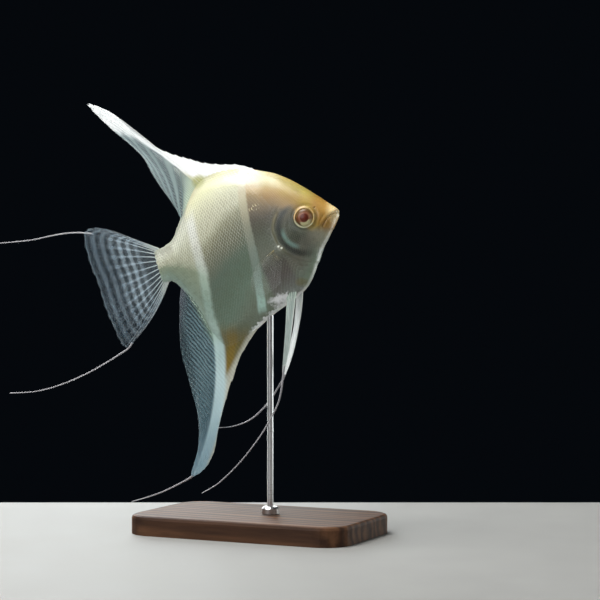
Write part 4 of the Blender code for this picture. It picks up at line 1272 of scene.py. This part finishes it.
def anal_colour(f, x, z, along, across, bare, cloud, thread):
    blue = f.mix(anal_bars(f, x, z, cloud) * 0.8 + 0.2 * thread, tone(86, 112, 122), tone(136, 160, 166))
    blue = f.mix(f.fade(across, 0.90, 0.98), blue, tone(140, 148, 158))
    tail_ward = f.mix(f.fade(z, -0.85, -1.02), blue, tone(120, 146, 158))
    root = f.mix(f.fade(along, 0.14, 0.02), tail_ward, tone(126, 146, 130))
    strip = glazes(
        f, z + 1.06,
        (0.02, 140, 168, 180), (0.20, 160, 182, 188), (0.42, 190, 208, 210), (0.58, 178, 198, 196),
        (0.68, 168, 190, 174),
    )
    front = f.mix(f.fade(second_band(x, z), 0.020, 0.050), strip, tone(172, 172, 160))
    tint = f.mix(f.fade(second_band(x, z), -0.038, -0.020), root, front)
    return f.mix(orange_patch(f, x, z), tint, warm_brown(f, x, z, cloud))


def anal_alpha(f, x, z, along, across, bare, cloud, thread):
    front = f.fade(second_band(x, z), -0.045, -0.020)
    fringe = f.fade(along, 0.80, 1.0) * f.fade(across, 0.34, 0.26)
    rear = 0.26 + 0.26 * anal_bars(f, x, z, cloud) + 0.16 * thread
    rear = rear + 0.14 * f.fade(z, -0.60, -0.85)
    thin_edge = 0.55 * f.fade(across, 0.68, 0.90) * f.fade(across, 0.99, 0.96)
    rear = rear * (1.0 - thin_edge * f.fade(along, 0.40, 0.70))
    rear = rear + 0.40 * f.fade(along, 0.12, 0.01) + 0.1 * f.fade(across, 0.95, 1.0)
    rear = rear * (0.45 + 0.55 * f.fade(across, 0.98, 0.72)).most(f.fade(z, -0.62, -0.80))
    return (rear + front * (0.52 - 0.42 * fringe) * f.fade(z, -1.06, -0.75)).least(0.98)


ANAL_SPINES, ANAL_SOFT, ANAL_SPINY_SHARE = 6, 28, 0.28
spines = np.linspace(0.0, ANAL_SPINY_SHARE, ANAL_SPINES)
soft = np.linspace(ANAL_SPINY_SHARE, 1.0, ANAL_SOFT + 1)[1:]
sheet = fan(ANAL_RAYS, anal_lean, anal_ripple)
marks = np.concatenate([spines, soft])
web = film("anal_film", anal_colour, anal_alpha)
reach = spiny_reach(ANAL_SPINY_SHARE, notch=0.16, fringe=0.012)
web_piece("anal_web", "anal_fin", web, sheet, marks, 6, 60, reach, root=0.00030, edge=0.00006)
lines = spiny_lines(spines, 0.00034, 0.00006, soft, 0.00019)
blue_ray = ray_finish("anal_rays", tone(132, 148, 142), tone(128, 150, 158), 0.90, -0.10, 0.20)
free = [free_line(ANAL_STREAMER, 0.00048, 0.00020)]
rays_piece("anal_rays", sheet, lines, blue_ray, "fin", ["anal_streamer"], free)

# ---- tail fin -------------------------------------------------------------------------------------------
# A fan of nineteen branched rays with clear film between them, crossed by arcs of pale dashes. Near its
# two corners long free threads carry it on.
CAUDAL_RAYS = [
    ((-0.004, 0.088), (-0.110, 0.168), (-0.225, 0.261)),
    ((-0.004, 0.076), (-0.160, 0.205), (-0.320, 0.311)),
    ((-0.004, 0.064), (-0.190, 0.195), (-0.387, 0.300)),
    ((-0.004, 0.040), (-0.190, 0.120), (-0.403, 0.160)),
    ((-0.004, 0.010), (-0.180, 0.020), (-0.393, 0.030)),
    ((-0.004, -0.020), (-0.180, -0.070), (-0.389, -0.098)),
    ((-0.004, -0.048), (-0.180, -0.155), (-0.368, -0.212)),
    ((-0.004, -0.066), (-0.165, -0.215), (-0.350, -0.318)),
    ((-0.004, -0.078), (-0.140, -0.230), (-0.314, -0.333)),
    ((-0.004, -0.090), (-0.100, -0.212), (-0.215, -0.282)),
]
CAUDAL_STREAMERS = [
    [(-0.340, 0.0, 0.284), (-0.390, 0.0, 0.306), (-0.430, 0.0, 0.321), (-0.500, 0.0, 0.340),
     (-0.590, 0.0, 0.354), (-0.690, 0.0, 0.368), (-0.820, 0.0, 0.398), (-0.950, 0.0, 0.432)],
    [(-0.290, 0.0, -0.322), (-0.322, 0.0, -0.345), (-0.380, 0.0, -0.360), (-0.450, 0.0, -0.376),
     (-0.585, 0.0, -0.400), (-0.740, 0.0, -0.412), (-0.885, 0.0, -0.404), (-1.025, 0.0, -0.370)],
]


def caudal_ripple(across, along):
    return 0.0060 * along**1.5 * np.sin(across * 15.0 + 0.6)


def caudal_bars(f, along, cloud):
    """Rows of pale bars across the web, between which the clear film shows as dark dots."""
    return f.fade(((along + 0.020 * cloud - 0.305) * 56.0).sine(), -0.7, 1.0) * f.fade(along, 0.22, 0.40)


def caudal_colour(f, x, z, along, across, bare, cloud, thread):
    tint = f.mix(f.fade(along, 0.35, 0.95), tone(186, 202, 212), tone(138, 158, 172))
    tint = f.mix(0.8 * f.fade(abs(across - 0.5), 0.46, 0.50), tint, tone(220, 228, 230))
    return f.mix(f.fade(along, 0.10, 0.01), tint, tone(226, 228, 210))


def caudal_alpha(f, x, z, along, across, bare, cloud, thread):
    outward = f.fade(along, 0.55, 0.80)
    bars = (0.38 - 0.16 * outward) * caudal_bars(f, along, cloud)
    bars = bars * (1.0 - 0.45 * bare * f.fade(along, 0.85, 0.60))
    stem = 0.18 * f.fade(bare, 0.55, 0.10) * f.fade(along, 0.85, 0.50)
    film_alpha = 0.05 + 0.03 * outward + bars * (0.60 + 0.80 * cloud) + stem + 0.05 * thread
    film_alpha = (0.80 - 0.30 * outward) * film_alpha * (1.0 - 0.35 * f.fade(across, 0.55, 0.90))
    rim = f.fade(abs(across - 0.5), 0.475, 0.50) * f.fade(along, 1.0, 0.2)
    return (film_alpha + 0.35 * rim + 0.6 * f.fade(along, 0.06, 0.01)).least(0.96)


CAUDAL_COUNT = 19
marks = np.linspace(0.0, 1.0, CAUDAL_COUNT)
sheet = fan(CAUDAL_RAYS, lambda x, z: 0.0 * x, caudal_ripple)
web = film("tail_film", caudal_colour, caudal_alpha)
reach = spiny_reach(0.0, notch=0.0, fringe=0.012)
web_piece("tail_web", "caudal_fin", web, sheet, marks, 8, 60, reach, root=0.00022, edge=0.00006)
lines = []
for mark in marks:
    edge = abs(mark - 0.5) > 0.47
    lines += soft_ray(mark, marks[1], 0.00036 if edge else 0.00025, 0.00005)
tail_ray = ray_finish("tail_rays", tone(186, 193, 190), tone(166, 182, 194), 0.87, -0.15, 0.60, free=0.12)
free = [free_line(places, 0.00040, 0.00020) for places in CAUDAL_STREAMERS]
nodes = ["caudal_streamer_upper", "caudal_streamer_lower"]
rays_piece("tail_rays", sheet, lines, tail_ray, "fin", nodes, free)

# ---- pectoral fins --------------------------------------------------------------------------------------
# Small clear paddles behind the gill covers, folded back along the flanks; only their first rays show
# much, faintly yellow.
PECTORAL_RAYS = [
    ((0.000, 0.020), (-0.070, 0.034), (-0.135, 0.032)),
    ((0.000, 0.012), (-0.100, 0.020), (-0.200, 0.004)),
    ((0.000, 0.004), (-0.115, -0.005), (-0.232, -0.036)),
    ((0.000, -0.005), (-0.110, -0.030), (-0.222, -0.080)),
    ((0.000, -0.013), (-0.085, -0.050), (-0.176, -0.110)),
    ((0.000, -0.020), (-0.050, -0.060), (-0.108, -0.114)),
]
PECTORAL_DROOP = math.radians(-30.0)
PECTORAL_SPREAD = math.radians(20.0)


def clear_colour(f, x, z, along, across, bare, cloud, thread):
    return f.mix(f.fade(along, 0.0, 0.3), tone(232, 222, 180), tone(220, 226, 224))


def clear_alpha(f, x, z, along, across, bare, cloud, thread):
    return 0.015 + 0.02 * thread + 0.15 * f.fade(along, 0.08, 0.0)


clear = film("pectoral_film", clear_colour, clear_alpha, 0.2, 0.05)
amber = ray_finish("pectoral_leading_rays", tone(150, 136, 92), tone(150, 144, 118), 0.88, 0.00, 0.55)
glassy = ray_finish("pectoral_rays", tone(150, 140, 110), tone(150, 150, 138), 0.93, -0.10, 0.25)
flat = fan(PECTORAL_RAYS, lambda x, z: 0.0 * x, lambda across, along: 0.004 * along * np.sin(across * 14.0))
for side, word in ((1, "left"), (-1, "right")):
    ring, height = ring_and_height(*(np.array([v]) for v in PECTORAL_AT))
    root, outward = (v[0] for v in skin_place(ring, height, np.array([float(side)])))
    turn = np.array(Euler((0.0, PECTORAL_DROOP, -side * PECTORAL_SPREAD), "XYZ").to_matrix())
    hinge = root - outward * 0.0008

    def paddle(across, along):
        """The flat fin turned out from the flank; a local fin has none of the tail's sway."""
        place = flat(across, along)
        x = place[..., 0] / STANDARD_LENGTH
        place[..., 1] -= TAIL_SWAY * np.maximum(0.0, SWAY_FROM - x) ** 2 * STANDARD_LENGTH
        return place @ turn.T + hinge

    marks = np.linspace(0.0, 1.0, 12)
    reach = spiny_reach(0.0, notch=0.0, fringe=0.02)
    shape = (paddle, marks, 5, 30, reach)
    web_piece(f"pectoral_web_{word}", f"pectoral_fin_{word}", clear, *shape, root=0.00012, edge=0.00004)
    lines = []
    for mark in marks[2:]:
        lines += soft_ray(mark, marks[1], 0.00010, 0.00003)
    rays_piece(f"pectoral_rays_{word}", paddle, lines, glassy, "fin")
    lines = soft_ray(marks[0], marks[1], 0.00016, 0.00003) + soft_ray(marks[1], marks[1], 0.00013, 0.00003)
    rays_piece(f"pectoral_leading_rays_{word}", paddle, lines, amber, "fin")

# ---- pelvic fins ----------------------------------------------------------------------------------------
# Two narrow blades under the chest: a stout spine with soft rays folded against it, milky all through,
# of which the first runs on as a very long free thread.
# Stations of the blade (x, y outwards, z, width), and the thread's places.
PELVIC = {
    "right": (
        -1,
        [(0.655, 0.024, -0.345, 0.050), (0.640, 0.030, -0.385, 0.046), (0.610, 0.040, -0.470, 0.040),
         (0.578, 0.050, -0.555, 0.034), (0.543, 0.053, -0.635, 0.030), (0.500, 0.056, -0.722, 0.013)],
        [(0.516, -0.055, -0.690), (0.494, -0.057, -0.737), (0.460, -0.059, -0.808), (0.424, -0.060, -0.862),
         (0.352, -0.062, -0.932), (0.260, -0.063, -1.003), (0.136, -0.064, -1.080), (0.013, -0.063, -1.138),
         (-0.055, -0.062, -1.158), (-0.113, -0.060, -1.168)],
    ),
    "left": (
        1,
        [(0.680, 0.024, -0.330, 0.036), (0.665, 0.030, -0.365, 0.034), (0.630, 0.042, -0.438, 0.033),
         (0.585, 0.050, -0.520, 0.030), (0.528, 0.053, -0.613, 0.032), (0.477, 0.055, -0.686, 0.026),
         (0.446, 0.057, -0.728, 0.013)],
        [(0.452, 0.057, -0.722), (0.437, 0.058, -0.740), (0.402, 0.060, -0.768), (0.315, 0.062, -0.832),
         (0.226, 0.063, -0.874), (0.154, 0.064, -0.889), (0.079, 0.065, -0.887), (0.005, 0.065, -0.872)],
    ),
}


def shaded_milk_colour(f, x, z, along, across, bare, cloud, thread):
    tint = f.mix(f.fade(along, 0.0, 0.35), tone(184, 204, 192), tone(184, 198, 194))
    return f.mix(0.4 * f.fade(cloud, 0.4, 0.7), tint, tone(206, 222, 217))


def lit_milk_colour(f, x, z, along, across, bare, cloud, thread):
    return f.mix(f.fade(thread, 0.6, 0.3), tone(250, 255, 254), tone(234, 250, 246))


def thin_milk(f, x, z, along, across, bare, cloud, thread):
    return 0.38 + 0.22 * thread - 0.16 * bare + 0.3 * f.fade(across, 0.3, 0.0)


def thick_milk(f, x, z, along, across, bare, cloud, thread):
    return 0.90 + 0.08 * thread


# The blades are alike: the left's film and rays are painted whiter, as lit, the right's greyer, as in shade.
milks = {
    "right": film("pelvic_film_right", shaded_milk_colour, thin_milk),
    "left": film("pelvic_film_left", lit_milk_colour, thick_milk),
}
milk_rays = {
    "right": ray_finish("pelvic_rays_right", tone(206, 222, 210), tone(214, 216, 212), 0.40, free=0.25),
    "left": ray_finish("pelvic_rays_left", tone(244, 255, 246), tone(232, 238, 236), 0.10, free=0.25),
}
for word, (side, stations, thread_places) in PELVIC.items():

    def blade(across, along):
        x, y, z, width = np.moveaxis(mixed(stations, along * (len(stations) - 1)), -1, 0)
        cup = 0.010 * np.sin(math.pi * across) * (1 - along)
        return swayed(x - (across - 0.5) * width, side * (y + cup), z)

    marks = np.linspace(0.0, 1.0, 6)
    reach = spiny_reach(0.0, notch=0.0, fringe=0.03)
    shape = (blade, marks, 6, 60, reach)
    web_piece(f"pelvic_web_{word}", f"pelvic_fin_{word}", milks[word], *shape, root=0.00022, edge=0.00010)
    lines = spine(0.0, 0.00040, 0.00012, 0.80)
    for mark in marks[1:]:
        lines += soft_ray(mark * 0.98, 0.12, 0.00024, 0.00008, 1.0)
    free = [free_line(thread_places, 0.00046, 0.00020)]
    rays_piece(f"pelvic_rays_{word}", blade, lines, milk_rays[word], "fin", [f"pelvic_streamer_{word}"], free)


# ---- floor and light ------------------------------------------------------------------------------------
# A plain pale table with nothing behind it, so that the clear fins read. A wide soft light hangs over the
# fish and one stands behind it to its left. Five weaker ones fill in from the front, over the tail, from
# ahead, and from low down on its left, where they light the chin and the edge of the belly.
TABLE_SIZE = (2.2, 1.10, 0.02)
table_finish = Finish("table", {"Specular IOR Level": 0.2})
table_grain = table_finish.noise(table_finish.place(), 35.0, 5.0, 0.6)
table_tone = table_finish.mix(table_grain, (0.25, 0.25, 0.245, 1.0), (0.30, 0.30, 0.29, 1.0))
table_finish.feed("Base Color", table_tone)
table_finish.feed("Roughness", 0.60 + 0.2 * table_grain)
table_finish.relief(table_grain, 0.1, 0.0002)
shape = bmesh.new()
bmesh.ops.create_cube(shape, size=1.0)
bmesh.ops.transform(shape, matrix=Matrix.Diagonal((*TABLE_SIZE, 1.0)), verts=shape.verts)
square_to_view = Matrix.Rotation(VIEW_TURN, 4, "Z")
shape.transform(square_to_view @ Matrix.Translation((0.0, -0.445, -0.0101)))
mesh = bpy.data.meshes.new("floor")
shape.to_mesh(mesh)
shape.free()
mesh.materials.append(table_finish.material)
floor = bpy.data.objects.new("floor", mesh)
bpy.context.scene.collection.objects.link(floor)


def soft_light(name, place, size, power, colour):
    lamp = bpy.data.lights.new(name, "AREA")
    lamp.shape = "DISK"
    lamp.size = size
    lamp.energy = power
    lamp.color = colour
    holder = bpy.data.objects.new(name, lamp)
    bpy.context.scene.collection.objects.link(holder)
    holder.location = place
    aim = Vector((0.0, 0.0, 0.11)) - Vector(place)
    holder.rotation_euler = aim.to_track_quat("-Z", "Y").to_euler()


soft_light("overhead", (-0.22, -0.14, 0.80), 0.50, 9.0, (1.0, 0.99, 0.96))
soft_light("behind", (-0.65, 0.62, 0.46), 0.50, 6.0, (0.93, 0.97, 1.0))
soft_light("front", (-0.20, -0.85, 0.45), 0.60, 3.4, (0.95, 0.98, 1.0))
soft_light("over the tail", (-0.20, -0.32, 0.34), 0.25, 0.40, (0.97, 1.0, 0.97))
soft_light("ahead", (0.80, -0.25, 0.40), 0.40, 1.2, (1.0, 0.97, 0.93))
soft_light("low ahead", (0.34, 0.50, 0.04), 0.36, 1.5, (0.94, 1.0, 0.98))
soft_light("low behind", (-0.30, 0.45, 0.05), 0.30, 1.2, (0.92, 1.0, 0.98))
world = bpy.data.worlds.new("dark room")
world.use_nodes = True
world.node_tree.nodes["Background"].inputs["Color"].default_value = (0.0016, 0.0024, 0.0036, 1.0)
bpy.context.scene.world = world
bpy.context.scene.view_settings.view_transform = "Standard"
